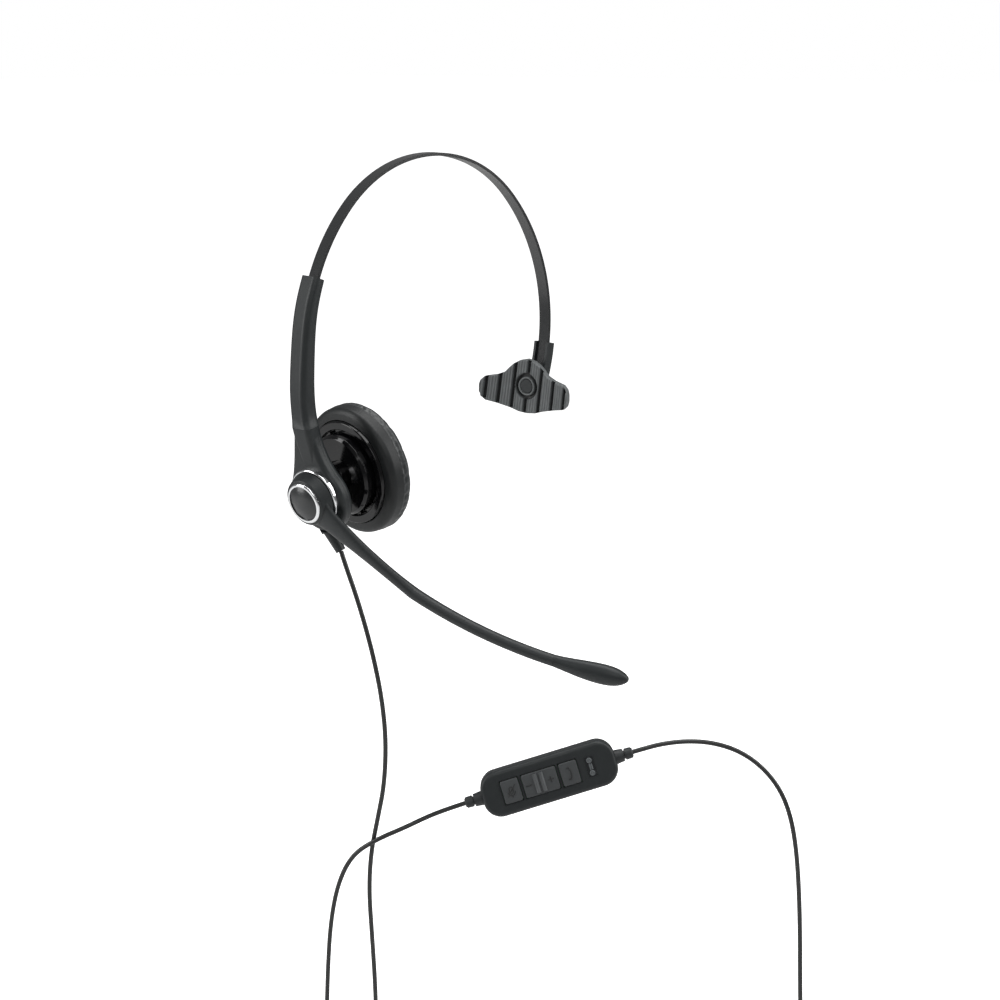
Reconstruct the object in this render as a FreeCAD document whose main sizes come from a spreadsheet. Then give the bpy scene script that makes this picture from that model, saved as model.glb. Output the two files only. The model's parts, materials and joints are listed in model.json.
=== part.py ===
import FreeCAD, Part
import math
import os
from types import SimpleNamespace

import Sketcher
from FreeCAD import Placement, Rotation, Vector

# Office headset with one ear cup, a boom microphone and an in-line key pad on its cord.
# Millimetres. +Z is up and the wearer looks along -Y. The origin is the centre of the
# ear cushion's contact face and +X points from there into the head.

SIZES = {
    # headband: two flank arcs and a crown arc, all tangent, measured on the inner face
    "band_half_width": 73.5, "band_crown_rise": 85.3, "band_flank_radius": 94.4,
    "band_centre_along": 36.2, "band_shoulder_height": 58.9, "band_offset": -4.4,
    "band_yaw": -10.1, "band_thickness": 1.5, "band_width": 6.9,
    "band_tail_angle": 1.5, "band_tip_angle": -15.2, "band_travel_angle": 7.0,
    # temple pad, its holder and its pin
    "pad_along": 97.6, "pad_height": 26.1, "pad_yaw": 14.0, "pad_half_length": 27.0,
    "pad_arm_top": 4.6, "pad_arm_bottom": 10.4, "pad_lobe_top": 14.0, "pad_lobe_bottom": 14.2,
    "pad_lobe_half_width": 13.0, "pad_thickness": 4.0, "pad_bend_radius": 82.0,
    "pin_radius": 2.0, "pin_head_radius": 3.6, "pin_head_height": 1.2, "pin_recess": 1.5,
    "holder_thickness": 1.8, "holder_disc_radius": 7.5, "holder_width": 10.3,
    "holder_top": 47.8, "holder_bottom": 31.0, "holder_wall": 1.6,
    # boom hub: the hub frame's origin is the centre of the front trim ring
    "hub_x": -45.3, "hub_y": -0.7, "hub_z": -10.4, "hub_tilt": -11.8,
    "hub_front": 0.6, "hub_back": 6.1, "hub_front_radius": 11.0, "hub_back_radius": 13.2,
    "hub_edge_round": 1.0, "hub_web": 1.9, "hub_pocket_radius": 7.6,
    "ring_radius": 9.9, "ring_inner_radius": 8.5, "ring_proud": 0.3, "ring_depth": 1.8,
    "cap_dome_radius": 22.0, "cap_height": 1.4, "cap_thickness": 1.4,
    "trim_radius": 14.1, "trim_inner_radius": 12.2, "trim_depth": 2.0,
    # arm: a flat paddle behind the hub and a sleeve above it that takes the band
    "arm_front": 8.5, "arm_back": 16.0, "arm_split": 12.6, "arm_round": 2.6,
    "disc_radius": 17.0, "disc_drop": 1.5, "neck_width": 11.4, "flare_top": 31.0,
    "disc_shift": 0.3, "neck_shift": 1.6, "neck_front": 7.2,
    "flare_bend": 26.0, "flare_angle": 48.0, "rear_flare_angle": 62.0, "rear_flare_reach": 6.0, "rear_flare_spread": 2.2,
    "flare_reach": 8.0,
    "parting_height": 34.2,
    "sleeve_thickness": 6.4, "sleeve_width": 12.2, "sleeve_top_angle": 20.6,
    "tongue_height": 3.0, "tongue_width": 6.0, "tongue_thickness": 2.0,
    "axle_radius": 4.0, "axle_front": 3.3, "washer_radius": 6.2, "washer_thickness": 0.6,
    "friction_radius": 11.4, "axle_screw_radius": 1.1, "axle_screw_head": 2.1,
    "cover_screw_radius": 1.0, "cover_screw_head": 1.9, "cover_screw_length": 5.0,
    # boom
    "boom_reach": 169.4, "boom_straight": 65.0, "boom_root_angle": 35.5,
    "boom_tip_angle": 24.3, "boom_inward": 25.3, "boom_depth": 3.4,
    "boom_neck_start": 66.0, "boom_neck_end": 137.0, "boom_neck_width": 5.8,
    "boom_waist_width": 5.4, "boom_root_thickness": 4.6, "core_radius": 0.9,
    "mic_width": 9.4, "mic_flatness": 0.8, "mic_element_radius": 2.0, "mic_element_depth": 1.6,
    # ear cup, measured along the cup's axis from the cushion's contact face
    "cup_yaw": -5.5, "cup_tilt": -7.4, "cushion_radius": 32.4, "cushion_bore": 16.0,
    "cushion_depth": 6.2, "cushion_round": 2.7, "ring_outer_radius": 31.5,
    "rim_front": 6.4, "rim_back": 12.6, "rim_round": 3.2, "shell_radius": 25.6,
    "shell_back": 14.8, "shell_step_radius": 21.4, "shell_groove_depth": 1.6,
    "dome_radius": 19.6, "dome_back": 19.6, "shell_wall": 1.5,
    "baffle_thickness": 1.6, "baffle_front": 6.6, "driver_radius": 14.0, "driver_depth": 4.6,
    "magnet_radius": 8.0, "magnet_depth": 3.4, "cone_thickness": 0.4,
    "cloth_radius": 15.6, "cloth_thickness": 0.8, "vent_width": 5.0, "vent_height": 2.2,
    "ball_depth": 19.5, "ball_radius": 4.0, "liner_radius": 5.0, "stem_radius": 2.0,
    "socket_boss_radius": 7.5, "socket_boss_back": 22.8, "liner_opening_angle": 50.0,
    # cord
    "cord_diameter": 2.3, "coil_mean_radius": 12.65, "coil_bundle_radius": 4.5,
    "coil_yaw": -51.3, "tie_width": 8.0, "tie_thickness": 0.8,
    "relief_length": 14.0, "relief_base_radius": 3.3, "relief_tip_radius": 2.4,
    # key pad on the cord
    "control_x": 31.2, "control_y": -86.2, "control_z": -149.5, "control_yaw": -51.3,
    "control_lean": 14.7, "control_roll": 17.0, "control_length": 67.5, "control_width": 22.5,
    "control_corner": 8.6, "control_top": 5.5, "control_bottom": 6.2, "control_wall": 1.4,
    "control_round": 2.2, "key_height": 11.3, "key_proud": 0.7, "key_root": 3.2,
    "mute_centre": -19.1, "mute_length": 8.8, "volume_centre": -4.4, "volume_length": 17.1,
    "call_centre": 10.3, "call_length": 8.8, "window_centre": 20.9, "window_length": 4.4,
    "window_height": 10.0, "board_length": 57.5, "board_width": 16.0, "board_thickness": 1.0,
    "board_level": 0.6, "dome_height": 0.9, "gland_length": 8.75, "gland_radius": 3.6,
    "clip_pin_along": 12.0, "clip_pin_radius": 1.0, "clip_pin_level": 9.0,
    "clip_jaw": 22.0, "clip_tail": 21.0, "clip_width": 11.0, "clip_thickness": 1.6,
    # plug
    "plug_length": 26.0, "plug_width": 15.7, "plug_thickness": 7.9, "plug_round": 1.4,
    "contact_shell_length": 18.75, "contact_shell_width": 12.0,
    "contact_shell_thickness": 4.5, "contact_shell_wall": 0.3, "plug_relief_length": 12.0,
    # clearances
    "running_gap": 0.05, "fit_gap": 0.1, "body_gap": 0.3, "key_gap": 0.35,
}


class Size:
    """A size from the sheet, or a sum of them, that knows its value and its expression."""

    def __init__(self, value, text):
        self.value = float(value)
        self.text = text

    def __add__(self, other):
        return Size(self.value + float(other), f"({self.text} + {expression(other)})")

    def __radd__(self, other):
        return Size(self.value + float(other), f"({expression(other)} + {self.text})")

    def __sub__(self, other):
        return Size(self.value - float(other), f"({self.text} - {expression(other)})")

    def __rsub__(self, other):
        return Size(float(other) - self.value, f"({expression(other)} - {self.text})")

    def __mul__(self, other):
        return Size(self.value * float(other), f"({self.text} * {expression(other)})")

    def __rmul__(self, other):
        return self * other

    def __truediv__(self, other):
        return Size(self.value / float(other), f"({self.text} / {expression(other)})")

    def __neg__(self):
        return Size(-self.value, f"(0 - {self.text})")

    def __float__(self):
        return self.value


def expression(number):
    if isinstance(number, Size):
        return number.text
    return f"({float(number)})"


doc = FreeCAD.newDocument("office_headset")
sheet = doc.addObject("Spreadsheet::Sheet", "Sizes")
for row, (name, value) in enumerate(SIZES.items(), start=1):
    sheet.set(f"A{row}", name)
    sheet.set(f"B{row}", str(value))
    sheet.setAlias(f"B{row}", name)
doc.recompute()
S = SimpleNamespace(**{name: Size(value, f"Sizes.{name}") for name, value in SIZES.items()})
X_AXIS = Vector(1, 0, 0)
Y_AXIS = Vector(0, 1, 0)
Z_AXIS = Vector(0, 0, 1)
NODES = []


# Frames of the sub-assemblies

def moved(x=0.0, y=0.0, z=0.0):
    return Placement(Vector(float(x), float(y), float(z)), Rotation())


def turn(axis, degrees):
    return Placement(Vector(), Rotation(axis, float(degrees)))


BAND = turn(Z_AXIS, S.band_yaw) * moved(0, S.band_offset, 0)
TEMPLE = BAND * moved(S.pad_along, 0, S.pad_height) * turn(Z_AXIS, S.pad_yaw)
HUB = moved(S.hub_x, S.hub_y, S.hub_z) * turn(Y_AXIS, S.hub_tilt)
CUP = turn(Z_AXIS, S.cup_yaw) * turn(Y_AXIS, S.cup_tilt)
CONTROL = (moved(S.control_x, S.control_y, S.control_z) * turn(Z_AXIS, S.control_yaw)
           * turn(X_AXIS, 90 - S.control_lean) * turn(Z_AXIS, S.control_roll))


# Helpers that make bound objects

def bind(item, prop, number):
    """Give a property its size, through an expression where the sheet holds it."""
    if isinstance(number, Size):
        item.setExpression(prop, number.text)
    elif prop.startswith("Placement"):
        item.setExpression(prop, expression(number))
    else:
        setattr(item, prop, number)


def keep(item, label, frame=None):
    """List a finished piece as a node of the assembly."""
    item.Label = label
    if frame is not None:
        item.Placement = frame
    NODES.append(item)
    return item


def put(item, x, y, z):
    for letter, number in zip("xyz", (x, y, z)):
        bind(item, f"Placement.Base.{letter}", number)
    return item


def block(x_range, y_range, z_range):
    """A box between two sizes along each axis."""
    item = doc.addObject("Part::Box", "block")
    for prop, ends in zip(("Length", "Width", "Height"), (x_range, y_range, z_range)):
        bind(item, prop, ends[1] - ends[0])
    return put(item, x_range[0], y_range[0], z_range[0])


def rod(start, end, radius, across=(0.0, 0.0), axis="x"):
    """A cylinder along one axis; across is its place on the other two."""
    item = doc.addObject("Part::Cylinder", "rod")
    bind(item, "Radius", radius)
    bind(item, "Height", end - start)
    if axis == "x":
        item.Placement = turn(Y_AXIS, 90)
        return put(item, start, across[0], across[1])
    if axis == "y":
        item.Placement = turn(X_AXIS, -90)
        return put(item, across[0], start, across[1])
    return put(item, across[0], across[1], start)


def ball(radius, x=0.0, y=0.0, z=0.0):
    item = doc.addObject("Part::Sphere", "ball")
    bind(item, "Radius", radius)
    return put(item, x, y, z)


def fused(items, name="fused"):
    item = doc.addObject("Part::MultiFuse", name)
    item.Shapes = items
    return item


def cut(base, tools, name="cut"):
    item = doc.addObject("Part::Cut", name)
    item.Base = base
    item.Tool = tools[0] if len(tools) == 1 else fused(tools)
    return item


def common(items, name="common"):
    item = doc.addObject("Part::MultiCommon", name)
    item.Shapes = items
    return item


def group(items, name="group"):
    item = doc.addObject("Part::Compound", name)
    item.Links = items
    return item


def solid(shape, name="solid"):
    """A piece whose shape comes straight from Part's own functions."""
    item = doc.addObject("Part::Feature", name)
    item.Shape = shape
    return item


def origin_plane(body, role):
    return next(item for item in body.Origin.OriginFeatures if item.Role == role)


def polygon_sketch(body, role, points, offset=0.0):
    """A closed outline of straight lines whose corners are bound to the sheet."""
    sketch = body.newObject("Sketcher::SketchObject", "outline")
    sketch.AttachmentSupport = [(origin_plane(body, role), "")]
    sketch.MapMode = "FlatFace"
    bind_offset = isinstance(offset, Size)
    if bind_offset:
        sketch.setExpression("AttachmentOffset.Base.z", offset.text)
    else:
        sketch.AttachmentOffset = moved(0, 0, offset)
    corners = [Vector(float(x), float(y), 0) for x, y in points]
    count = len(corners)
    for index in range(count):
        sketch.addGeometry(Part.LineSegment(corners[index], corners[(index + 1) % count]), False)
    for index in range(count):
        sketch.addConstraint(Sketcher.Constraint("Coincident", index, 2, (index + 1) % count, 1))
    for index, (x, y) in enumerate(points):
        for kind, number, axis in (("DistanceX", x, -2), ("DistanceY", y, -1)):
            if float(number) == 0.0:
                sketch.addConstraint(Sketcher.Constraint("PointOnObject", index, 1, axis))
                continue
            datum = Sketcher.Constraint(kind, -1, 1, index, 1, float(number))
            place = sketch.addConstraint(datum)
            if isinstance(number, Size):
                sketch.setExpression(f"Constraints[{place}]", number.text)
    return sketch


def soften(body, radius, picks):
    """Round the edges of a body that the test picks."""
    doc.recompute()
    before = body.Tip
    names = [f"Edge{i}" for i, edge in enumerate(before.Shape.Edges, start=1) if picks(edge)]
    fillet = body.newObject("PartDesign::Fillet", "round")
    fillet.Base = (before, names)
    bind(fillet, "Radius", radius)
    body.Tip = fillet
    return body


def turned(points, rounds=()):
    """A body turned about X from corners (along, radius); rounds are (corner, radius)."""
    body = doc.addObject("PartDesign::Body", "turned")
    sketch = polygon_sketch(body, "XZ_Plane", points)
    turning = body.newObject("PartDesign::Revolution", "turning")
    turning.Profile = sketch
    turning.ReferenceAxis = (sketch, ["H_Axis"])
    turning.Angle = 360
    body.Tip = turning
    for corner, radius in rounds:
        along, out = float(points[corner][0]), float(points[corner][1])

        def at_corner(edge):
            if not isinstance(edge.Curve, Part.Circle):
                return False
            centre = edge.Curve.Center
            return abs(centre.x - along) < 1e-4 and abs(edge.Curve.Radius - out) < 1e-4

        soften(body, radius, at_corner)
    return body


def slab(corners, low, high, upright=None, rim=None, rim_level=None):
    """A plate between two levels on Z: corner points, then rounds on its edges."""
    body = doc.addObject("PartDesign::Body", "slab")
    sketch = polygon_sketch(body, "XY_Plane", corners, low)
    pad = body.newObject("PartDesign::Pad", "pad")
    pad.Profile = sketch
    bind(pad, "Length", high - low)
    body.Tip = pad
    if upright is not None:
        soften(body, upright, lambda edge: is_upright(edge))
    if rim is not None:
        level = float(rim_level)
        soften(body, rim, lambda edge: is_at_level(edge, level))
    return body


def is_upright(edge):
    first, last = edge.Vertexes[0].Point, edge.Vertexes[-1].Point
    return abs(first.x - last.x) < 1e-6 and abs(first.y - last.y) < 1e-6


def is_at_level(edge, level):
    return all(abs(vertex.Point.z - level) < 1e-6 for vertex in edge.Vertexes)


def rectangle(x_low, x_high, half_width):
    return [(x_low, -half_width), (x_high, -half_width), (x_high, half_width), (x_low, half_width)]


# Headband: a spring strip along a flank arc, a crown arc and the other flank arc

def band_crown_radius():
    """The crown radius that meets both flanks tangentially."""
    flank = S.band_flank_radius.value
    aside = flank - S.band_half_width.value
    rise = S.band_crown_rise.value
    return (flank ** 2 - aside ** 2 - rise ** 2) / (2 * (flank - rise))


def band_joint_angle():
    """Degrees above the shoulder where a flank hands over to the crown."""
    aside = S.band_flank_radius.value - S.band_half_width.value
    return math.degrees(math.atan2(S.band_crown_rise.value - band_crown_radius(), aside))


def flank_centre(side):
    """side -1 is the ear side, +1 the temple side."""
    aside = S.band_flank_radius.value - S.band_half_width.value
    along = S.band_centre_along.value - side * aside
    return Vector(along, 0, S.band_shoulder_height.value)


def flank_point(side, degrees, radius):
    angle = math.radians(degrees)
    reach = Vector(side * math.cos(angle), 0, math.sin(angle))
    return flank_centre(side) + reach * radius


def flank_arc(side, start, end, radius):
    middle = flank_point(side, (start + end) / 2, radius)
    return Part.Arc(flank_point(side, start, radius), middle,
                    flank_point(side, end, radius)).toShape()


def band_line(extra):
    """Arcs of the strip at a height above its inner face, from tail to tip."""
    radius = S.band_flank_radius.value + extra
    joint = band_joint_angle()
    crown = Vector(S.band_centre_along.value, 0,
                   S.band_shoulder_height.value + S.band_crown_rise.value + extra)
    over = Part.Arc(flank_point(-1, joint, radius), crown, flank_point(1, joint, radius)).toShape()
    return [flank_arc(-1, S.band_tail_angle.value, joint, radius), over,
            flank_arc(1, joint, S.band_tip_angle.value, radius)]


def strip(inner, outer, width):
    """A solid of the band's width between two chains of arcs."""
    first, last = inner[0].Vertexes[0].Point, inner[-1].Vertexes[-1].Point
    first_out, last_out = outer[0].Vertexes[0].Point, outer[-1].Vertexes[-1].Point
    ends = [Part.makeLine(last, last_out), Part.makeLine(first_out, first)]
    wire = Part.Wire(Part.__sortEdges__(inner + outer + ends))
    face = Part.Face(wire)
    face.translate(Vector(0, -width / 2, 0))
    return face.extrude(Vector(0, width, 0))


def flank_sector(side, start, end, inner, outer, width):
    """A curved block that follows a flank, for slots that the strip lies in."""
    low, high = flank_arc(side, start, end, inner), flank_arc(side, start, end, outer)
    return strip([low], [high], width)


thickness = S.band_thickness.value
band = strip(band_line(0), band_line(thickness), S.band_width.value)
keep(solid(band, "headband"), "headband", BAND)


# Temple pad: a soft T-shaped plate bent towards the head, on a pin through its holder

def mirrored_outline(half):
    """A closed smooth outline from the points of its +Y half, top to bottom."""
    other = [(-along, up) for along, up in reversed(half) if along]
    points = [Vector(0, along, up) for along, up in half + other]
    curve = Part.BSplineCurve()
    curve.interpolate(Points=points, PeriodicFlag=True)
    return Part.Face(Part.Wire(curve.toShape()))


def pad_outline():
    end, arm_low, arm_high = (float(S.pad_half_length), -float(S.pad_arm_bottom),
                              float(S.pad_arm_top))
    lobe, top, bottom = (float(S.pad_lobe_half_width), float(S.pad_lobe_top),
                         -float(S.pad_lobe_bottom))
    arm_middle = (arm_low + arm_high) / 2
    return [(0, top), (lobe * 0.62, top - 3.0), (lobe, arm_high + 1.8), (lobe + 4.5, arm_high),
            (end - 3.2, arm_high - 1.2), (end, arm_middle), (end - 3.2, arm_low + 1.2),
            (lobe + 4.5, arm_low), (lobe * 0.75, arm_low - 1.8), (0, bottom)]


def bent_plate(inner_radius, thick, height=80.0):
    """A piece of a tube about an upright axis on the head's side of the pad."""
    centre = Vector(-inner_radius, 0, -height / 2)
    outer = Part.makeCylinder(inner_radius + thick, height, centre, Z_AXIS)
    return outer.cut(Part.makeCylinder(inner_radius, height, centre, Z_AXIS))


face = mirrored_outline(pad_outline())
face.translate(Vector(-20, 0, 0))
pad_plate = face.extrude(Vector(40, 0, 0)).common(
    bent_plate(float(S.pad_bend_radius), float(S.pad_thickness)))
pad_blank = solid(pad_plate.Solids[0], "pad_blank")
pad_bore = rod(Size(-1, "(-1)"), S.pad_thickness + 1, S.pin_radius + S.running_gap)
pad_seat = rod(Size(-1, "(-1)"), S.pin_recess, S.pin_head_radius + S.body_gap)
keep(cut(pad_blank, [pad_bore, pad_seat]), "temple_pad", TEMPLE)

holder_front = S.pad_thickness + S.body_gap + S.washer_thickness + S.fit_gap
holder_back = holder_front + S.holder_thickness
rivet_radius = S.pin_radius + 1.2
keep(turned([(S.pin_recess - S.pin_head_height, 0), (holder_back + 1.0, 0),
             (holder_back + 1.0, rivet_radius), (holder_back + S.fit_gap / 2, rivet_radius),
             (holder_back + S.fit_gap / 2, S.pin_radius), (S.pin_recess - S.fit_gap, S.pin_radius),
             (S.pin_recess - S.fit_gap, S.pin_head_radius),
             (S.pin_recess - S.pin_head_height, S.pin_head_radius)],
            [(7, S.fit_gap * 4)]), "temple_pin", TEMPLE)
keep(turned([(S.pad_thickness + S.fit_gap * 2, S.pin_radius + S.running_gap),
             (holder_front - S.running_gap, S.pin_radius + S.running_gap),
             (holder_front - S.running_gap, S.holder_disc_radius - 2),
             (S.pad_thickness + S.fit_gap * 2, S.holder_disc_radius - 2)]),
     "temple_washer", TEMPLE)


def holder_shape():
    """A disc on the pin, a channel round the band's tip and a loft between them."""
    front, back = float(holder_front), float(holder_back)
    disc = Part.makeCylinder(float(S.holder_disc_radius), back - front, Vector(front, 0, 0), X_AXIS)
    wall, radius = float(S.holder_wall), float(S.band_flank_radius)
    centre_height = float(S.band_shoulder_height)
    low = math.degrees(math.asin((float(S.holder_bottom) - centre_height) / radius))
    high = math.degrees(math.asin((float(S.holder_top) - centre_height) / radius))
    channel = flank_sector(1, low, high, radius - wall * 0.8, radius + thickness + wall,
                           float(S.holder_width))
    to_band = TEMPLE.inverse() * BAND
    channel.Placement = to_band
    foot = flank_point(1, low, radius + thickness / 2)
    foot_place = to_band * Placement(foot, Rotation(Y_AXIS, low))
    depth = thickness + wall * 1.8
    upper = rounded_section(foot_place, depth, float(S.holder_width), 0.6)
    lower_place = moved((front + back) / 2, 0, float(S.holder_disc_radius) * 0.1)
    lower = rounded_section(lower_place, back - front, float(S.holder_disc_radius) * 1.6, 0.6)
    neck = Part.makeLoft([lower, upper], True, True)
    whole = disc.fuse([channel, neck]).removeSplitter()
    gap = float(S.fit_gap)
    tip = float(S.band_tip_angle) - 0.2
    slot = flank_sector(1, tip, high + 2, radius - wall * 2, radius + thickness + gap,
                        float(S.band_width) + 2 * gap)
    slot.Placement = to_band
    bore = Part.makeCylinder(float(S.pin_radius) + gap / 2, 20, Vector(front - 5, 0, 0), X_AXIS)
    rivet_room = Part.makeCylinder(float(rivet_radius) + gap, 20, Vector(back, 0, 0), X_AXIS)
    return whole.cut([slot, bore, rivet_room])


def rounded_section(place, thick, wide, radius):
    """A rounded rectangle on the XY plane of a place, thick along X and wide along Y."""
    a, b = thick / 2 - radius, wide / 2 - radius
    corners = [(a, b, 0), (-a, b, 90), (-a, -b, 180), (a, -b, 270)]
    edges = []
    for index, (x, y, start) in enumerate(corners):
        circle = Part.Circle(Vector(x, y, 0), Z_AXIS, radius)
        arc = Part.ArcOfCircle(circle, math.radians(start), math.radians(start + 90))
        edges.append(arc.toShape())
    joined = []
    for index, arc in enumerate(edges):
        after = edges[(index + 1) % 4]
        joined += [arc, Part.makeLine(arc.Vertexes[-1].Point, after.Vertexes[0].Point)]
    wire = Part.Wire(joined)
    wire.Placement = place
    return wire


keep(solid(holder_shape(), "holder"), "temple_pad_holder", TEMPLE)


# Arm: the paddle behind the hub, split into an outer shell and an inner cover

def neck_middle(height):
    """How far the neck's middle stands aside at a height: it leans into line with the band."""
    share = min(max(height / float(S.parting_height), 0.0), 1.0)
    return float(S.disc_shift) + (float(S.neck_shift) - float(S.disc_shift)) * share


def paddle(front, back, rounded_level):
    """The paddle's outline between two depths in the hub frame, rounded at one of them."""
    radius = float(S.disc_radius)
    half = float(S.neck_width) / 2
    centre = Vector(0, float(S.disc_shift), -float(S.disc_drop))
    top = float(S.parting_height) - float(S.fit_gap)

    def flank(side, degrees, reach, spread, high):
        """Four poles from a height down one side of the neck on to the disc."""
        angle = math.radians(degrees)
        on_disc = centre + Vector(0, side * math.sin(angle), math.cos(angle)) * radius
        lead = Vector(0, -side * math.cos(angle), math.sin(angle)) * reach
        low = float(S.flare_bend)
        return [Vector(0, neck_middle(high) + side * half, high),
                Vector(0, neck_middle(low) + side * (half + spread), low), on_disc + lead, on_disc]

    right = flank(1, float(S.rear_flare_angle), float(S.rear_flare_reach), float(S.rear_flare_spread), top)
    left = list(reversed(flank(-1, float(S.flare_angle), float(S.flare_reach), 0.0,
                               float(S.flare_top))))
    right_curve, left_curve = Part.BezierCurve(), Part.BezierCurve()
    right_curve.setPoles(right)
    left_curve.setPoles(left)
    bottom = Part.Arc(right[-1], centre - Z_AXIS * radius, left[0])
    top_left = Vector(0, neck_middle(top) - half, top)
    edges = [Part.makeLine(top_left, right[0]), right_curve.toShape(), bottom.toShape(),
             left_curve.toShape(),
             Part.makeLine(left[-1], top_left)]
    face = Part.Face(Part.Wire(edges))
    face.translate(Vector(front, 0, 0))
    plate = face.extrude(Vector(back - front, 0, 0))
    rim = [edge for edge in plate.Edges
           if all(abs(v.Point.x - rounded_level) < 1e-6 for v in edge.Vertexes)
           and not all(abs(v.Point.z - top) < 1e-6 for v in edge.Vertexes)]
    return plate.makeFillet(float(S.arm_round), rim)


def neck_section(height):
    """Thickness and width of the neck's rounded core at a height."""
    share = min(max((height - 10.0) / (float(S.parting_height) - 10.0), 0.0), 1.0)
    ease = share * share * (3 - 2 * share)
    front = float(S.arm_front) + 0.3 + (float(S.neck_front) - float(S.arm_front) - 0.3) * ease
    wide = float(S.neck_width) * (0.86 + 0.14 * ease) + 0.3
    middle = (front + float(S.arm_back)) / 2
    place = HUB * moved(middle, neck_middle(height), height)
    return place, float(S.arm_back) - front, wide


def neck_core():
    """The neck swells out of the flat paddle and meets the sleeve with the same section."""
    top = float(S.parting_height) - float(S.fit_gap)
    heights = [top, 28.0, 21.0, 14.0]
    sections = []
    for height in heights:
        place, thick, wide = neck_section(height)
        sections.append(rounded_section(HUB.inverse() * place, thick, wide, 2.8))
    return Part.makeLoft(sections, True, False)


seam_gap = float(S.fit_gap) / 2
core_blank = neck_core()
outer_half = Part.makeBox(20, 60, 80, Vector(float(S.arm_split) - seam_gap - 20, -30, -20))
inner_half = Part.makeBox(20, 60, 80, Vector(float(S.arm_split) + seam_gap, -30, -20))
outer_paddle = paddle(float(S.arm_front), float(S.arm_split) - seam_gap,
                      float(S.arm_front)).fuse(core_blank.common(outer_half))
inner_paddle = paddle(float(S.arm_split) + seam_gap, float(S.arm_back),
                      float(S.arm_back)).fuse(core_blank.common(inner_half))
SCREW_PLACES = [(neck_middle(27.0), 27.0), (-11.0, -8.0), (11.0, -8.0)]


def drive_socket(x, y, z, radius, deep):
    """A six-sided drive recess, as a prism tool along X."""
    item = doc.addObject("Part::Prism", "drive")
    item.Polygon = 6
    bind(item, "Circumradius", radius)
    bind(item, "Height", deep)
    item.Placement = turn(Y_AXIS, 90)
    return put(item, x, y, z)


def cover_screw(y, z):
    back = S.arm_back - 0.3
    shank = rod(back - S.cover_screw_length, back, S.cover_screw_radius, (y, z))
    head = rod(back - 1.1, back, S.cover_screw_head, (y, z))
    socket = drive_socket(back - 0.7, y, z, S.cover_screw_radius * 0.8, 1.0)
    return cut(fused([shank, head]), [socket])


def cover_screw_hole(y, z):
    back = S.arm_back - 0.3
    gap = S.running_gap
    hole = rod(back - S.cover_screw_length - gap, S.arm_back + 5, S.cover_screw_radius + gap, (y, z))
    seat = rod(back - 1.1 - gap, S.arm_back + 5, S.cover_screw_head + gap, (y, z))
    return fused([hole, seat])


tongue_low = S.parting_height - 6.0
tongue = block((S.arm_split - S.tongue_thickness - 0.3, S.arm_split - 0.3),
               (S.neck_shift - S.tongue_width / 2, S.neck_shift + S.tongue_width / 2),
               (tongue_low, S.parting_height + S.tongue_height))
axle_bore = rod(S.arm_front - 2, S.arm_split + 2, S.axle_radius + S.running_gap)
holes = [cover_screw_hole(y, z) for y, z in SCREW_PLACES]
relief_bore = rod(-30.0, -10.0, S.cord_diameter / 2 + 0.2, (S.arm_split, 0.0), axis="z")
outer_blank = fused([solid(outer_paddle, "outer_paddle"), tongue])
keep(cut(outer_blank, [axle_bore] + holes + [relief_bore]), "arm_outer_shell", HUB)
holes = [cover_screw_hole(y, z) for y, z in SCREW_PLACES]
relief_bore = rod(-30.0, -10.0, S.cord_diameter / 2 + 0.2, (S.arm_split, 0.0), axis="z")
keep(cut(solid(inner_paddle, "inner_paddle"), holes + [relief_bore]), "arm_inner_cover", HUB)
keep(group([cover_screw(y, z) for y, z in SCREW_PLACES]), "cover_screws", HUB)

# Trim ring, friction washer, axle and its screw: they hold the boom's hub on the arm
keep(turned([(S.arm_front - S.trim_depth, S.trim_inner_radius),
             (S.arm_front, S.trim_inner_radius), (S.arm_front, S.trim_radius),
             (S.arm_front - S.trim_depth, S.trim_radius)], [(3, 0.7)]), "hub_trim_ring", HUB)
keep(turned([(S.hub_back + S.fit_gap, S.axle_radius + S.running_gap),
             (S.arm_front - S.running_gap, S.axle_radius + S.running_gap),
             (S.arm_front - S.running_gap, S.friction_radius),
             (S.hub_back + S.fit_gap, S.friction_radius)]), "friction_washer", HUB)
axle_end = S.arm_split - S.fit_gap
keep(turned([(S.axle_front, S.axle_screw_radius + S.running_gap),
             (axle_end, S.axle_screw_radius + S.running_gap), (axle_end, S.axle_radius),
             (S.axle_front, S.axle_radius)]), "boom_axle", HUB)
washer_back = S.axle_front - S.running_gap
washer_front = washer_back - S.washer_thickness
keep(turned([(washer_front, S.axle_screw_radius + S.running_gap),
             (washer_back, S.axle_screw_radius + S.running_gap), (washer_back, S.washer_radius),
             (washer_front, S.washer_radius)]), "axle_washer", HUB)
head_front = washer_front - 0.9
axle_screw = turned([(head_front, 0), (axle_end - 1, 0), (axle_end - 1, S.axle_screw_radius),
                     (washer_front - S.running_gap, S.axle_screw_radius),
                     (washer_front - S.running_gap, S.axle_screw_head),
                     (head_front, S.axle_screw_head)])
keep(cut(axle_screw, [drive_socket(head_front - 0.5, 0.0, 0.0, 1.0, 1.0)]), "axle_screw", HUB)


# Sleeve: a loft up the neck that follows the band, with a curved slot for the strip

SLEEVE_STATIONS = ((-16.3, 5.75, -5.0), (-9.9, 3.75, 0.0), (-3.5, 1.95, 3.0), (3.0, 1.0, 7.0),
                   (9.5, 0.75, 11.0), (15.0, 0.6, 15.5))


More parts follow.
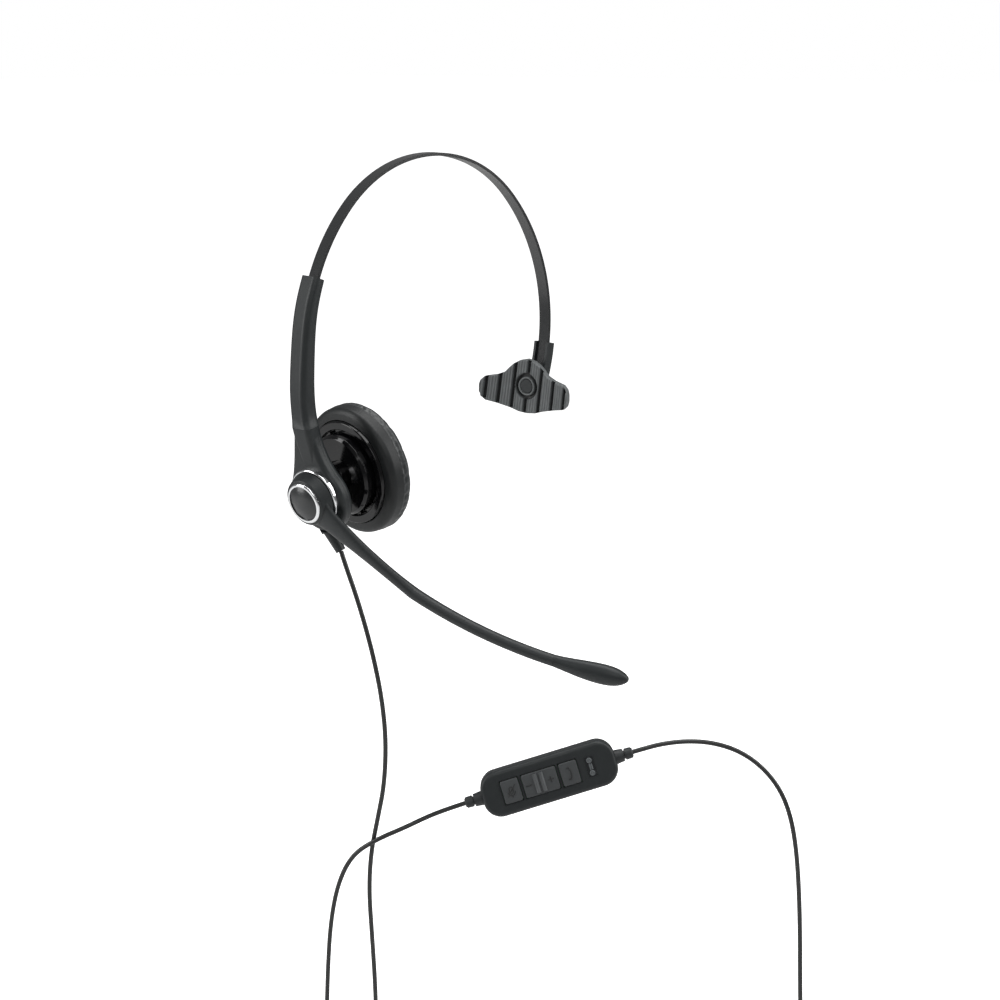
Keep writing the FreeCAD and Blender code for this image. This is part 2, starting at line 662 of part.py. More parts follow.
def sleeve_places():
    """Frames of the sleeve's sections from the parting line up, with thickness and width.

    Each station is an angle on the flank, how far the middle stands outside the strip there
    and the lean of the section."""
    middle = float(S.band_flank_radius) + thickness / 2
    bottom, depth, wide = neck_section(float(S.parting_height))
    thin, width = float(S.sleeve_thickness), float(S.sleeve_width)
    places = [(bottom, depth, wide)]
    top_angle = float(S.sleeve_top_angle)
    for degrees, outward, lean in SLEEVE_STATIONS:
        share = (degrees + 20.0) / (top_angle + 20.0)
        spot = flank_point(-1, degrees, middle + outward)
        frame = BAND * Placement(spot, Rotation(Y_AXIS, lean))
        places.append((frame, depth + (thin - depth) * share, wide + (width - wide) * share))
    spot = flank_point(-1, top_angle, middle + 0.5)
    places.append((BAND * Placement(spot, Rotation(Y_AXIS, top_angle)), thin, width))
    return places


def sleeve_shape():
    sections = [rounded_section(place, thick, wide, 2.8) for place, thick, wide in sleeve_places()]
    body = Part.makeLoft(sections, True, False)
    gap = float(S.fit_gap) * 1.5
    radius = float(S.band_flank_radius)
    deepest = float(S.band_tail_angle) - float(S.band_travel_angle) - 0.8
    slot = flank_sector(-1, deepest, float(S.sleeve_top_angle) + 4, radius - gap,
                        radius + thickness + gap, float(S.band_width) + 2 * gap)
    slot.Placement = BAND
    spring_room = flank_sector(-1, 6.0, 15.0, radius - 1.3, radius, float(S.band_width) - 1.0)
    spring_room.Placement = BAND
    grow = float(S.fit_gap)
    socket = Part.makeBox(float(S.tongue_thickness) + 2 * grow, float(S.tongue_width) + 2 * grow, 30,
                          Vector(float(S.arm_split) - 0.3 - float(S.tongue_thickness) - grow,
                                 float(S.neck_shift) - float(S.tongue_width) / 2 - grow,
                                 float(S.parting_height + S.tongue_height) + grow - 30))
    socket.Placement = HUB * socket.Placement
    return body.cut([slot, spring_room, socket])


keep(solid(sleeve_shape(), "sleeve"), "arm_sleeve")
spring = flank_sector(-1, 6.2, 14.8, float(S.band_flank_radius) - 1.2,
                      float(S.band_flank_radius) - 0.8, float(S.band_width) - 1.4)
keep(solid(spring, "detent_spring"), "sleeve_detent_spring", BAND)


# Boom: a rigid root that grows out of the hub, a flexible neck and the microphone capsule

def boom_point(reach):
    """A point of the boom's centre line at a distance from the hub's axis, in the hub frame."""
    bend = max(0.0, reach - float(S.boom_straight))
    full = float(S.boom_reach) - float(S.boom_straight)
    fall = float(S.boom_root_angle - (S.boom_root_angle - S.boom_tip_angle) * (bend / full))
    depth = float(S.boom_depth) + float(S.boom_inward) * (reach / float(S.boom_reach)) ** 2
    angle = math.radians(fall)
    return Vector(depth, -reach * math.cos(angle), -reach * math.sin(angle))


def boom_section(reach, wide, thick):
    """An ellipse square to the boom, thick along the hub's axis."""
    along = boom_point(reach + 0.5) - boom_point(reach - 0.5)
    along.normalize()
    inward = X_AXIS - along * along.dot(X_AXIS)
    inward.normalize()
    across = along.cross(inward)
    ellipse = Part.Ellipse(Vector(), wide / 2, thick / 2) if wide > thick + 1e-6 else None
    if ellipse is None:
        ring = Part.Circle(Vector(), Z_AXIS, wide / 2).toShape()
    else:
        ring = ellipse.toShape()
    wire = Part.Wire([ring])
    wire.Placement = Placement(boom_point(reach), Rotation(across, inward, along, "ZXY"))
    return wire


ROOT_STATIONS = [(8.0, 17.0), (14.0, 12.6), (21.0, 10.8), (29.0, 9.0), (38.0, 7.4), (50.0, 6.4)]
start, end = float(S.boom_neck_start), float(S.boom_neck_end)
neck_wide, waist = float(S.boom_neck_width), float(S.boom_waist_width)
root_sections = [boom_section(reach, wide, float(S.boom_root_thickness))
                 for reach, wide in ROOT_STATIONS]
root_sections.append(boom_section(start, neck_wide + 0.2, neck_wide))
root = solid(Part.makeLoft(root_sections, True, False), "boom_root")
hub_blank = turned([(S.hub_front, 0), (S.hub_back, 0), (S.hub_back, S.hub_back_radius),
                    (S.hub_front, S.hub_front_radius)], [(3, S.hub_edge_round)])
ring_seat = rod(S.hub_front - 2, S.ring_depth, S.ring_radius + S.running_gap)
hub_pocket = rod(S.hub_front, S.hub_back - S.hub_web, S.hub_pocket_radius)
hub_bore = rod(S.hub_front, S.hub_back + 2, (S.axle_radius + S.fit_gap))
keep(cut(fused([hub_blank, root]), [ring_seat, hub_pocket, hub_bore]), "boom_hub", HUB)

keep(turned([(-S.ring_proud, S.ring_inner_radius), (S.ring_depth - S.fit_gap, S.ring_inner_radius),
             (S.ring_depth - S.fit_gap, S.ring_radius), (-S.ring_proud, S.ring_radius)],
            [(3, 0.8)]), "hub_front_ring", HUB)
cap_back = S.ring_depth - S.fit_gap
cap_radius = S.ring_inner_radius - S.fit_gap
cap_ball = ball(S.cap_dome_radius, S.cap_dome_radius - S.cap_height)
cap_rod = rod(-5.0, cap_back, cap_radius)
keep(common([cap_ball, cap_rod]), "hub_cap", HUB)

neck_count = 8
neck_stations = [start + (end - start) * step / (neck_count - 1) for step in range(neck_count)]


def neck_width(reach):
    share = (reach - start) / (end - start)
    return neck_wide + (waist - neck_wide) * math.sin(math.pi * min(share * 1.15, 1.0) / 2)


neck_skin = Part.makeLoft([boom_section(reach, neck_width(reach), neck_width(reach))
                           for reach in neck_stations], True, False)
core_diameter = 2 * float(S.core_radius)
core_hole = Part.makeLoft([boom_section(reach, core_diameter + 0.1, core_diameter + 0.1)
                           for reach in neck_stations], True, False)
core = Part.makeLoft([boom_section(reach, core_diameter, core_diameter)
                      for reach in neck_stations], True, False)
keep(solid(neck_skin.cut(core_hole), "neck"), "boom_neck", HUB)
keep(solid(core, "core"), "boom_core_wire", HUB)

tip = float(S.boom_reach)
full = float(S.mic_width)
MIC_STATIONS = [(end + 0.1, 0.6), (end + 5, 0.7), (end + 11, 0.86), (end + 17, 0.98),
                (tip - 10, 1.0), (tip - 5.5, 0.86), (tip - 2.4, 0.58), (tip - 0.4, 0.2)]
mic_blank = Part.makeLoft([boom_section(reach, full * share, full * share
                                        * (1 - (1 - float(S.mic_flatness)) * min(1, share * 1.1 - 0.4)))
                           for reach, share in MIC_STATIONS], True, False)
mic_middle = boom_point((end + tip) / 2)
mic_along = boom_point(tip) - boom_point(end)
mic_along.normalize()
mic_inward = X_AXIS - mic_along * mic_along.dot(X_AXIS)
mic_inward.normalize()
mic_across = mic_along.cross(mic_inward)
MIC = Placement(mic_middle, Rotation(mic_inward, mic_across, mic_along, "XZY"))
element_depth = float(S.mic_element_depth)
element_place = MIC * moved(0, 0, 6.0)
element_room = Part.makeCylinder(float(S.mic_element_radius) + 0.1, 2 * element_depth + 0.2,
                                 Vector(-element_depth - 0.1, 0, 0), X_AXIS)
element_room.Placement = element_place
mouth_slot = Part.makeBox(8, 0.9, 2.4, Vector(0, -0.45, -1.2))
mouth_slot.Placement = element_place
half_room = Part.makeBox(20, 40, 80, Vector(0.04, -20, -40))
half_room.Placement = MIC
other_room = Part.makeBox(20, 40, 80, Vector(-20.04, -20, -40))
other_room.Placement = MIC
hollow = mic_blank.cut(element_room)
keep(solid(hollow.common(half_room).cut(mouth_slot), "mic_inner"), "mic_inner_shell", HUB)
keep(solid(hollow.common(other_room), "mic_outer"), "mic_outer_shell", HUB)
element = doc.addObject("Part::Cylinder", "element")
bind(element, "Radius", S.mic_element_radius)
bind(element, "Height", 2 * S.mic_element_depth)
keep(element, "mic_element", HUB * element_place * moved(-element_depth, 0, 0) * turn(Y_AXIS, 90))


# Ear cup: along = minus the depth behind the cushion's contact face

def shell_blank():
    """The glossy back: an outer ring, a groove with vents, a raised dome and its boss."""
    wall = S.shell_wall
    return turned([
        (-S.rim_back, S.shell_radius), (-S.shell_back, S.shell_radius - 0.6),
        (-S.shell_back, S.shell_step_radius), (-S.shell_back + S.shell_groove_depth,
                                               S.shell_step_radius - 0.4),
        (-S.shell_back + S.shell_groove_depth, S.dome_radius + 0.3), (-S.dome_back + 1.2, S.dome_radius),
        (-S.dome_back, S.dome_radius - 1.2), (-S.dome_back - 0.6, S.socket_boss_radius),
        (-S.socket_boss_back, S.socket_boss_radius), (-S.socket_boss_back, 0),
        (-S.ball_depth + S.liner_radius + wall, 0),
        (-S.ball_depth + S.liner_radius + wall, S.socket_boss_radius),
        (-S.dome_back + wall, S.socket_boss_radius),
        (-S.dome_back + wall, S.dome_radius - wall),
        (-S.shell_back + S.shell_groove_depth + wall, S.dome_radius - wall),
        (-S.shell_back + S.shell_groove_depth + wall, S.shell_step_radius - 0.4),
        (-S.rim_back, S.shell_step_radius - 0.4)], [(1, 0.5), (2, 0.4), (5, 0.5), (6, 0.5)])


socket_ball = ball(S.liner_radius + S.running_gap, -S.ball_depth)
VENT_COUNT = 8
vents = []
for index in range(VENT_COUNT):
    angle = math.radians(22.5 + index * 360 / VENT_COUNT)
    out = float(S.dome_radius) + 0.8
    vent = block((-S.shell_back, -S.shell_back + S.shell_groove_depth + S.shell_wall + 1),
                 (Size(-2.5, "(-2.5)"), Size(2.5, "(2.5)")), (Size(-0.5, "(-0.5)"), Size(0.5, "(0.5)")))
    vent.setExpression("Placement.Base.x", None)
    vent.setExpression("Placement.Base.y", None)
    vent.setExpression("Placement.Base.z", None)
    lift = Placement(Vector(-float(S.shell_back), -2.5, out - 0.5), Rotation())
    vent.Placement = turn(X_AXIS, math.degrees(angle)) * lift
    vents.append(vent)
keep(cut(shell_blank(), [socket_ball] + vents), "cup_back_shell", CUP)

keep(turned([(-S.rim_front, S.cloth_radius + 3), (-S.rim_front, S.ring_outer_radius),
             (-S.rim_back, S.ring_outer_radius - 0.6), (-S.rim_back - 0.6, S.shell_radius + S.fit_gap),
             (-S.rim_back + 1.2, S.shell_radius + S.fit_gap),
             (-S.rim_back + 2.0, S.shell_radius - 2.0),
             (-S.baffle_front - S.baffle_thickness - S.fit_gap, S.shell_radius - 2.0),
             (-S.baffle_front - S.baffle_thickness - S.fit_gap, S.cloth_radius + 3)],
            [(2, S.rim_round)]), "cushion_ring", CUP)
baffle_back = -S.baffle_front - S.baffle_thickness - S.fit_gap
keep(turned([(baffle_back - 1.4, S.driver_radius + S.fit_gap), (baffle_back - S.fit_gap, S.driver_radius
                                                                + S.fit_gap),
             (baffle_back - S.fit_gap, S.shell_radius - 2.2), (baffle_back - 1.4,
                                                               S.shell_radius - 2.2)]),
     "baffle", CUP)
driver_front = baffle_back + 0.6
driver_back = driver_front - S.driver_depth
keep(turned([(driver_back, S.magnet_radius + S.fit_gap), (driver_back, S.driver_radius - 2),
             (driver_front, S.driver_radius), (driver_front, S.driver_radius - 1.6),
             (driver_back + 1.0, S.driver_radius - 4), (driver_back + 1.0,
                                                        S.magnet_radius + S.fit_gap)]),
     "driver_frame", CUP)
keep(turned([(driver_back - 0.6, 0), (driver_back + S.magnet_depth - 0.6, 0),
             (driver_back + S.magnet_depth - 0.6, S.magnet_radius),
             (driver_back - 0.6, S.magnet_radius)], [(3, 0.5)]), "driver_magnet", CUP)
cone_rim = S.driver_radius - 2.3
keep(turned([(driver_front - 0.9, 0), (driver_front - 0.9 + S.cone_thickness, 0),
             (driver_front - 1.2 + S.cone_thickness, 5.0), (driver_front - 0.2, cone_rim),
             (driver_front - 0.2 - S.cone_thickness, cone_rim), (driver_front - 1.2, 5.0)]),
     "driver_cone", CUP)
keep(turned([(-S.rim_front - S.cloth_thickness, 0), (-S.rim_front, 0),
             (-S.rim_front, S.cloth_radius + 2.8), (-S.rim_front - S.cloth_thickness,
                                                    S.cloth_radius + 2.8)]), "speaker_cloth", CUP)
keep(turned([(-S.cushion_depth, S.cushion_bore), (Size(0, "(0)"), S.cushion_bore),
             (Size(0, "(0)"), S.cushion_radius), (-S.cushion_depth, S.cushion_radius)],
            [(0, 0.8), (1, S.cushion_round), (2, S.cushion_round), (3, 0.8)]),
     "ear_cushion", CUP)


# Ball joint: a stud on the arm, a split liner round it and the socket in the cup's back

CUP_BALL = CUP * moved(-S.ball_depth, 0, 0)


def spherical_shell(inner, outer, opening_degrees):
    """A hollow ball, open towards -X within a cone of the given half angle."""
    shell = Part.makeSphere(outer).cut(Part.makeSphere(inner))
    reach = outer * 2
    mouth = Part.makeCone(0, reach * math.tan(math.radians(opening_degrees)), reach,
                          Vector(), Vector(-1, 0, 0))
    return shell.cut(mouth)


liner = spherical_shell(float(S.ball_radius + S.running_gap), float(S.liner_radius),
                        float(S.liner_opening_angle))
keep(solid(liner, "liner"), "ball_liner", CUP_BALL)


def stud_shape():
    """The ball on its stem, with a flange that sits on the inner cover."""
    centre = (HUB.inverse() * CUP_BALL).Base
    back = float(S.arm_back) + 0.02
    foot = Vector(back, centre.y, centre.z)
    stem = Part.makeCylinder(float(S.stem_radius), centre.x - back, foot, X_AXIS)
    flange = Part.makeCylinder(float(S.stem_radius) + 3.0, 1.4, foot, X_AXIS)
    cone = Part.makeCone(float(S.stem_radius) + 1.6, float(S.stem_radius), 2.4, foot + X_AXIS * 1.4,
                         X_AXIS)
    end_ball = Part.makeSphere(float(S.ball_radius), centre)
    return end_ball.fuse([stem, flange, cone]).removeSplitter()


keep(solid(stud_shape(), "stud"), "ball_stud", HUB)


# Cord: straight runs joined by tangent arcs

HEADSET_TO_COIL = [
    (-26.8, -9.1, -43.6), (-25.8, -13.6, -55.3), (-24.6, -19.1, -72.4), (-23.2, -23.2, -89.9),
    (-21.7, -25.9, -108.0), (-20.9, -27.3, -128.4), (-21.5, -26.3, -151.3), (-23.7, -23.2, -170.3),
    (-25.7, -20.4, -187.4), (-26.4, -19.1, -208.0), (-25.9, -20.1, -232.5), (-26.0, -21.6, -257.2),
    (-27.1, -22.9, -278.3), (-28.4, -23.8, -299.1)]
COIL_TO_CONTROL = [
    (-44.8, -3.0, -299.1), (-42.6, -3.5, -277.3), (-40.0, -2.6, -252.4), (-37.5, -3.0, -226.2),
    (-34.9, -6.4, -204.6), (-31.3, -13.2, -188.7), (-26.2, -25.2, -178.9), (-17.2, -34.1, -173.9),
    (-6.9, -42.5, -168.4), (-1.1, -50.5, -164.3)]
CONTROL_TO_COIL = [
    (63.1, -120.3, -135.8), (68.7, -126.4, -133.7), (75.7, -134.6, -132.4), (82.9, -143.7, -132.8),
    (89.6, -153.3, -135.6), (94.9, -162.1, -141.0), (98.7, -170.3, -149.0), (100.7, -176.8, -158.7),
    (101.9, -181.1, -171.1), (102.9, -183.8, -186.5), (103.7, -185.7, -206.6),
    (104.1, -187.3, -230.7), (103.7, -188.9, -258.1), (103.2, -190.6, -280.3),
    (102.3, -191.8, -297.2)]
COIL_TO_PLUG = [(104.2, -193.0, -297.2), (104.0, -193.5, -305.0), (103.6, -193.7, -312.0)]
COIL_CENTRES = {"headset": (-33.7, -11.8, -299.1), "plug": (97.0, -179.8, -297.2)}


def cord_arc(before, corner, after):
    """The tangent arc at a corner: as large as its two runs allow."""
    back, ahead = before - corner, after - corner
    shorter = min(back.Length, ahead.Length)
    back.normalize()
    ahead.normalize()
    reach = 0.45 * shorter
    half_turn = (math.pi - back.getAngle(ahead)) / 2
    radius = reach / math.tan(half_turn)
    bisector = back + ahead
    bisector.normalize()
    centre = corner + bisector * (radius / math.cos(half_turn))
    first, last = corner + back * reach, corner + ahead * reach
    middle = centre - bisector * radius
    return first, middle, last, radius


def cord_tube(points, label):
    """A tube along the route, checked against its length times its section."""
    corners = [Vector(*point) for point in points]
    edges = []
    radii = []
    here = corners[0]
    for before, corner, after in zip(corners, corners[1:], corners[2:]):
        first, middle, last, radius = cord_arc(before, corner, after)
        edges.append(Part.LineSegment(here, first).toShape())
        edges.append(Part.Arc(first, middle, last).toShape())
        radii.append(radius)
        here = last
    edges.append(Part.LineSegment(here, corners[-1]).toShape())
    path = Part.Wire(edges)
    start_way = corners[1] - corners[0]
    circle = Part.Circle(corners[0], start_way, float(S.cord_diameter) / 2)
    section = Part.Wire([circle.toShape()])
    tube = path.makePipeShell([section], True, True)
    area = math.pi * float(S.cord_diameter) ** 2 / 4
    print(f"{label}: length {path.Length:.1f}, smallest radius {min(radii):.1f}, "
          f"volume {tube.Volume:.1f} against {area * path.Length:.1f}")
    return tube


RELIEF_TIP = HUB * Vector(float(S.arm_split), -5.6, -28.9)
RELIEF_WAY = HUB.Rotation.multVec(Vector(0, -0.475, -0.88))
GLAND_IN = CONTROL * Vector(-float(S.control_length) / 2 - float(S.gland_length), 0, 0)
GLAND_OUT = CONTROL * Vector(float(S.control_length) / 2 + float(S.gland_length), 0, 0)


def triple(vector):
    return (vector.x, vector.y, vector.z)


keep(solid(cord_tube([triple(RELIEF_TIP)] + HEADSET_TO_COIL, "headset cord down"), "cord"),
     "headset_cord_down")
keep(solid(cord_tube(COIL_TO_CONTROL + [triple(GLAND_IN)], "headset cord up"), "cord"),
     "headset_cord_up")
keep(solid(cord_tube([triple(GLAND_OUT)] + CONTROL_TO_COIL, "plug cord down"), "cord"),
     "plug_cord_down")
keep(solid(cord_tube(COIL_TO_PLUG, "plug cord end"), "cord"), "plug_cord_end")


def coil_frame(which):
    """A coil's own frame: its axis is Y, turned towards the front left."""
    return moved(*COIL_CENTRES[which]) * turn(Z_AXIS, S.coil_yaw)


for which in ("headset", "plug"):
    ring = doc.addObject("Part::Torus", "coil")
    bind(ring, "Radius1", S.coil_mean_radius)
    bind(ring, "Radius2", S.coil_bundle_radius)
    ring.Placement = coil_frame(which) * turn(X_AXIS, 90)
    keep(ring, f"{which}_cord_coil")
    hole = S.coil_bundle_radius + S.fit_gap
    band_loop = turned([(-S.tie_width / 2, hole), (S.tie_width / 2, hole),
                        (S.tie_width / 2, hole + S.tie_thickness),
                        (-S.tie_width / 2, hole + S.tie_thickness)])
    keep(band_loop, f"{which}_coil_tie", coil_frame(which) * moved(0, 0, -S.coil_mean_radius))


# Strain relief on the arm, glands on the key pad and the relief on the plug

def sleeve_on_cord(tip_point, way, long, base, tip_radius, bore, collar=0.0):
    """A tapered sleeve that ends at tip_point, with an optional collar at its base."""
    way = Vector(way)
    way.normalize()
    foot = tip_point - way * long
    cone = Part.makeCone(base, tip_radius, long, foot, way)
    if collar:
        cone = cone.fuse(Part.makeCylinder(base + 0.6, collar, foot, way))
    return cone.cut(Part.makeCylinder(bore, long + 2, foot - way, way))


relief = sleeve_on_cord(RELIEF_TIP, RELIEF_WAY, float(S.relief_length),
                        float(S.relief_base_radius), float(S.relief_tip_radius), 0.6, 3.0)
relief_seat = Part.makeCylinder(float(S.disc_radius) + 0.05, 20, Vector(0, 0, -float(S.disc_drop)),
                                X_AXIS)
relief_seat.Placement = HUB
keep(solid(relief.cut(relief_seat), "relief"), "arm_strain_relief")


def gland(side, label):
    """A tapered root and a rounded collar, moulded on the cord where it enters the key pad."""
    half = S.control_length / 2
    end = half + S.gland_length
    root = S.gland_radius
    points = [(half + 0.05, 0), (end, 0), (end, root - 1.6), (end - 0.8, root - 0.85),
              (half + 4.8, root - 0.75), (half + 4.7, root - 1.5), (half + 4.2, root - 1.5),
              (half + 4.1, root - 0.5), (half + 0.05, root)]
    frame = CONTROL if side > 0 else CONTROL * turn(Z_AXIS, 180)
    keep(turned(points, []), label, frame)


gland(-1, "control_gland_in")
gland(1, "control_gland_out")


# Key pad: two shells, a board with dome switches, three keys, a light window and a clip

half_length = S.control_length / 2
half_width = S.control_width / 2
wall = S.control_wall
zero = Size(0, "(0)")


def control_outline(inset=0.0):
    return rectangle(inset - half_length, half_length - inset, half_width - inset)


def key_opening(centre, length, height, grow):
    half_key = length / 2 + grow
    return block((centre - half_key, centre + half_key), (-height / 2 - grow, height / 2 + grow),
                 (zero, S.control_top + 3))


def window_block(grow, low, high):
    return block((S.window_centre - S.window_length / 2 - grow,
                  S.window_centre + S.window_length / 2 + grow),
                 (-S.window_height / 2 - grow, S.window_height / 2 + grow), (low, high))


top_outer = slab(control_outline(), zero, S.control_top, S.control_corner, S.control_round,
                 S.control_top)
top_inner = slab(control_outline(wall), Size(-1, "(-1)"), S.control_top - wall,
                 S.control_corner - wall)
openings = [key_opening(S.mute_centre, S.mute_length, S.key_height, S.key_gap),
            key_opening(S.volume_centre, S.volume_length, S.key_height, S.key_gap),
            key_opening(S.call_centre, S.call_length, S.key_height, S.key_gap),
            window_block(S.running_gap, zero, S.control_top + 3)]
keep(cut(top_outer, [top_inner] + openings), "control_top_shell", CONTROL)
bottom_outer = slab(control_outline(), -S.control_bottom, -S.fit_gap, S.control_corner,
                    S.control_round, -S.control_bottom)
bottom_inner = slab(control_outline(wall), -S.control_bottom + wall, Size(1, "(1)"),
                    S.control_corner - wall)
lug_gap = S.clip_width / 2 + S.body_gap
lug_thickness = 1.6


def lug(side):
    """An ear under the bottom shell that carries the clip's pin."""
    inner = lug_gap if side > 0 else -lug_gap - lug_thickness
    outer = inner + lug_thickness
    return block((S.clip_pin_along - 2.2, S.clip_pin_along + 2.2), (inner, outer),
                 (-S.clip_pin_level - 2.0, -S.control_bottom + 0.5))


pin_hole = rod(-S.control_width, S.control_width, S.clip_pin_radius + 0.02,
               (S.clip_pin_along, -S.clip_pin_level), axis="y")
SCREW_ALONG = (-29.0, 29.0)


def control_screw_hole(along):
    shank = rod(-S.control_bottom - 1, Size(1, "(1)"), S.cover_screw_radius + S.running_gap,
                (along, 0.0), axis="z")
    head = rod(-S.control_bottom - 1, -S.control_bottom + 1.1, S.cover_screw_head + S.running_gap,
               (along, 0.0), axis="z")
    return fused([shank, head])


bottom_tools = [bottom_inner, pin_hole] + [control_screw_hole(along) for along in SCREW_ALONG]
keep(cut(fused([bottom_outer, lug(1), lug(-1)]), bottom_tools), "control_bottom_shell", CONTROL)


def control_screw(along):
    low = -S.control_bottom + 0.2
    shank = rod(low, Size(1.5, "(1.5)"), S.cover_screw_radius, (along, 0.0), axis="z")
    head = rod(low, low + 0.8, S.cover_screw_head, (along, 0.0), axis="z")
    socket = doc.addObject("Part::Prism", "drive")
    socket.Polygon = 6
    bind(socket, "Circumradius", S.cover_screw_radius * 0.8)
    socket.Height = 1.0
    put(socket, along, 0.0, low - 0.5)
    return cut(fused([shank, head]), [socket])


keep(group([control_screw(along) for along in SCREW_ALONG]), "control_screws", CONTROL)
board = block((-S.board_length / 2, S.board_length / 2), (-S.board_width / 2, S.board_width / 2),
              (S.board_level, S.board_level + S.board_thickness))
board_holes = [rod(zero, Size(4, "(4)"), S.cover_screw_radius + 0.2, (along, 0.0), axis="z")
               for along in SCREW_ALONG]
keep(cut(board, board_holes), "control_board", CONTROL)
board_top = S.board_level + S.board_thickness
switch_places = [S.mute_centre, S.volume_centre - 5.0, S.volume_centre + 5.0, S.call_centre]
keep(group([rod(board_top, board_top + S.dome_height - 0.05, Size(2.4, "(2.4)"), (along, 0.0),
                axis="z") for along in switch_places]), "dome_switches", CONTROL)
keep(group([window_block(0.0, S.control_top - wall - 0.8, S.control_top - 0.1)]),
     "status_window", CONTROL)


def key(centre, length, label):
    corners = rectangle(centre - length / 2, centre + length / 2, S.key_height / 2)
    top = S.control_top + S.key_proud
    keep(slab(corners, S.key_root, top, Size(0.9, "(0.9)"), Size(0.35, "(0.35)"), top), label,
         CONTROL)


key(S.mute_centre, S.mute_length, "mute_key")
key(S.volume_centre, S.volume_length, "volume_rocker")
key(S.call_centre, S.call_length, "call_key")

clip_top = -S.clip_pin_level - 0.4
clip_plate = slab(rectangle(S.clip_pin_along - S.clip_jaw - S.clip_pin_along,
                            S.clip_tail, S.clip_width / 2),
                  clip_top - S.clip_thickness, clip_top, Size(3.0, "(3)"))
clip_barrel = rod(-S.clip_width / 2, S.clip_width / 2, S.clip_pin_radius + 1.2,
                  (S.clip_pin_along, -S.clip_pin_level), axis="y")
clip_lip = block((-S.clip_jaw + 1.0, -S.clip_jaw + 3.0), (-S.clip_width / 2 + 3, S.clip_width / 2 - 3),
                 (clip_top - 0.5, -S.control_bottom - S.body_gap))
clip_bore = rod(-S.clip_width, S.clip_width, S.clip_pin_radius + S.running_gap,
                (S.clip_pin_along, -S.clip_pin_level), axis="y")
keep(cut(fused([clip_plate, clip_barrel, clip_lip]), [clip_bore]), "garment_clip", CONTROL)
keep(group([rod(-lug_gap - lug_thickness, lug_gap + lug_thickness, S.clip_pin_radius,
                (S.clip_pin_along, -S.clip_pin_level), axis="y")]), "clip_pin", CONTROL)


# Plug: it hangs from its coil, contact end down

PLUG_TOP = Vector(*COIL_TO_PLUG[-1])
PLUG = Placement(PLUG_TOP, Rotation()) * turn(Z_AXIS, S.coil_yaw) * turn(Y_AXIS, 90)
relief_long = S.plug_relief_length
keep(turned([(zero, 0.6), (relief_long, 0.6), (relief_long, Size(2.9, "(2.9)")),
             (relief_long - 1.5, Size(2.9, "(2.9)")), (zero, S.cord_diameter / 2 + 0.5)]),
     "plug_strain_relief", PLUG)
PLUG_BODY = PLUG * moved(relief_long + 0.05, 0, 0)


def flat_block(length, wide, thick, start=0.0):
    return block((Size(start, f"({start})"), length + start), (-wide / 2, wide / 2),
                 (-thick / 2, thick / 2))


plug_blank = slab(rectangle(zero, S.plug_length, S.plug_width / 2), -S.plug_thickness / 2,
                  S.plug_thickness / 2, Size(2.0, "(2)"))
soften(plug_blank, S.plug_round, lambda edge: is_at_level(edge, float(S.plug_thickness) / 2)
       or is_at_level(edge, -float(S.plug_thickness) / 2))
recess = block((S.plug_length - 3, S.plug_length + 2),
               (-S.contact_shell_width / 2 - 0.02, S.contact_shell_width / 2 + 0.02),
               (-S.contact_shell_thickness / 2 - 0.02, S.contact_shell_thickness / 2 + 0.02))
keep(cut(plug_blank, [recess]), "plug_overmould", PLUG_BODY)
PLUG_FRONT = PLUG_BODY * moved(S.plug_length - 2.95, 0, 0)
shell_long = S.contact_shell_length + 2.95
metal = flat_block(shell_long, S.contact_shell_width, S.contact_shell_thickness)
inner_wide = S.contact_shell_width - 2 * S.contact_shell_wall
inner_thick = S.contact_shell_thickness - 2 * S.contact_shell_wall
hollow_block = flat_block(shell_long + 2, inner_wide, inner_thick, -1.0)
latch_windows = [block((shell_long - 9.5, shell_long - 7.0), (side * 2.9 - 1.1, side * 2.9 + 1.1),
                       (Size(-5, "(-5)"), Size(5, "(5)"))) for side in (-1, 1)]
keep(cut(metal, [hollow_block] + latch_windows), "plug_contact_shell", PLUG_FRONT)
tongue_thick = 1.9
tongue_level = -inner_thick / 2 + 0.02
keep(group([block((Size(0.1, "(0.1)"), shell_long - 0.6), (-inner_wide / 2 + 0.05, inner_wide / 2 - 0.05),
                  (tongue_level, tongue_level + tongue_thick))]), "plug_tongue", PLUG_FRONT)
contact_level = tongue_level + tongue_thick + 0.01
CONTACTS = ((-3.5, 7.4), (-1.0, 6.4), (1.0, 6.4), (3.5, 7.4))
keep(group([block((shell_long - 1.2 - long, shell_long - 1.2), (Size(y - 0.5, f"({y - 0.5})"),
                                                                Size(y + 0.5, f"({y + 0.5})")),
                  (contact_level, contact_level + 0.2)) for y, long in CONTACTS]),
     "plug_contacts", PLUG_FRONT)


# Check every object, then write one file for each node

doc.recompute()
faults = []
for item in doc.Objects:
    if "Invalid" in item.State or "Error" in item.State:
        faults.append(f"{item.Name} ({item.Label}): {item.State}")
for item in NODES:
    if item.Shape.isNull() or not item.Shape.isValid() or not item.Shape.Solids:
        faults.append(f"{item.Label} has no valid solid")
if faults:
    raise RuntimeError("; ".join(faults))
os.makedirs("parts", exist_ok=True)
for item in NODES:
    item.Shape.exportStep(f"parts/{item.Label}.step")
print(f"{len(NODES)} nodes written")
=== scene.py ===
# %% [markdown]
# # An office headset with one ear cup
# The engineering model is loaded first. It is the fixed frame: every rigid piece is already
# in its place, in metres, and this script gives each one its finish. Soft and fine pieces
# are then made one by one: the ear cushion, the temple pad, the cords and the small marks.

# %% Load the frame
import json
import math
import random

import bmesh
import bpy
import numpy as np
from mathutils import Euler, Matrix, Vector


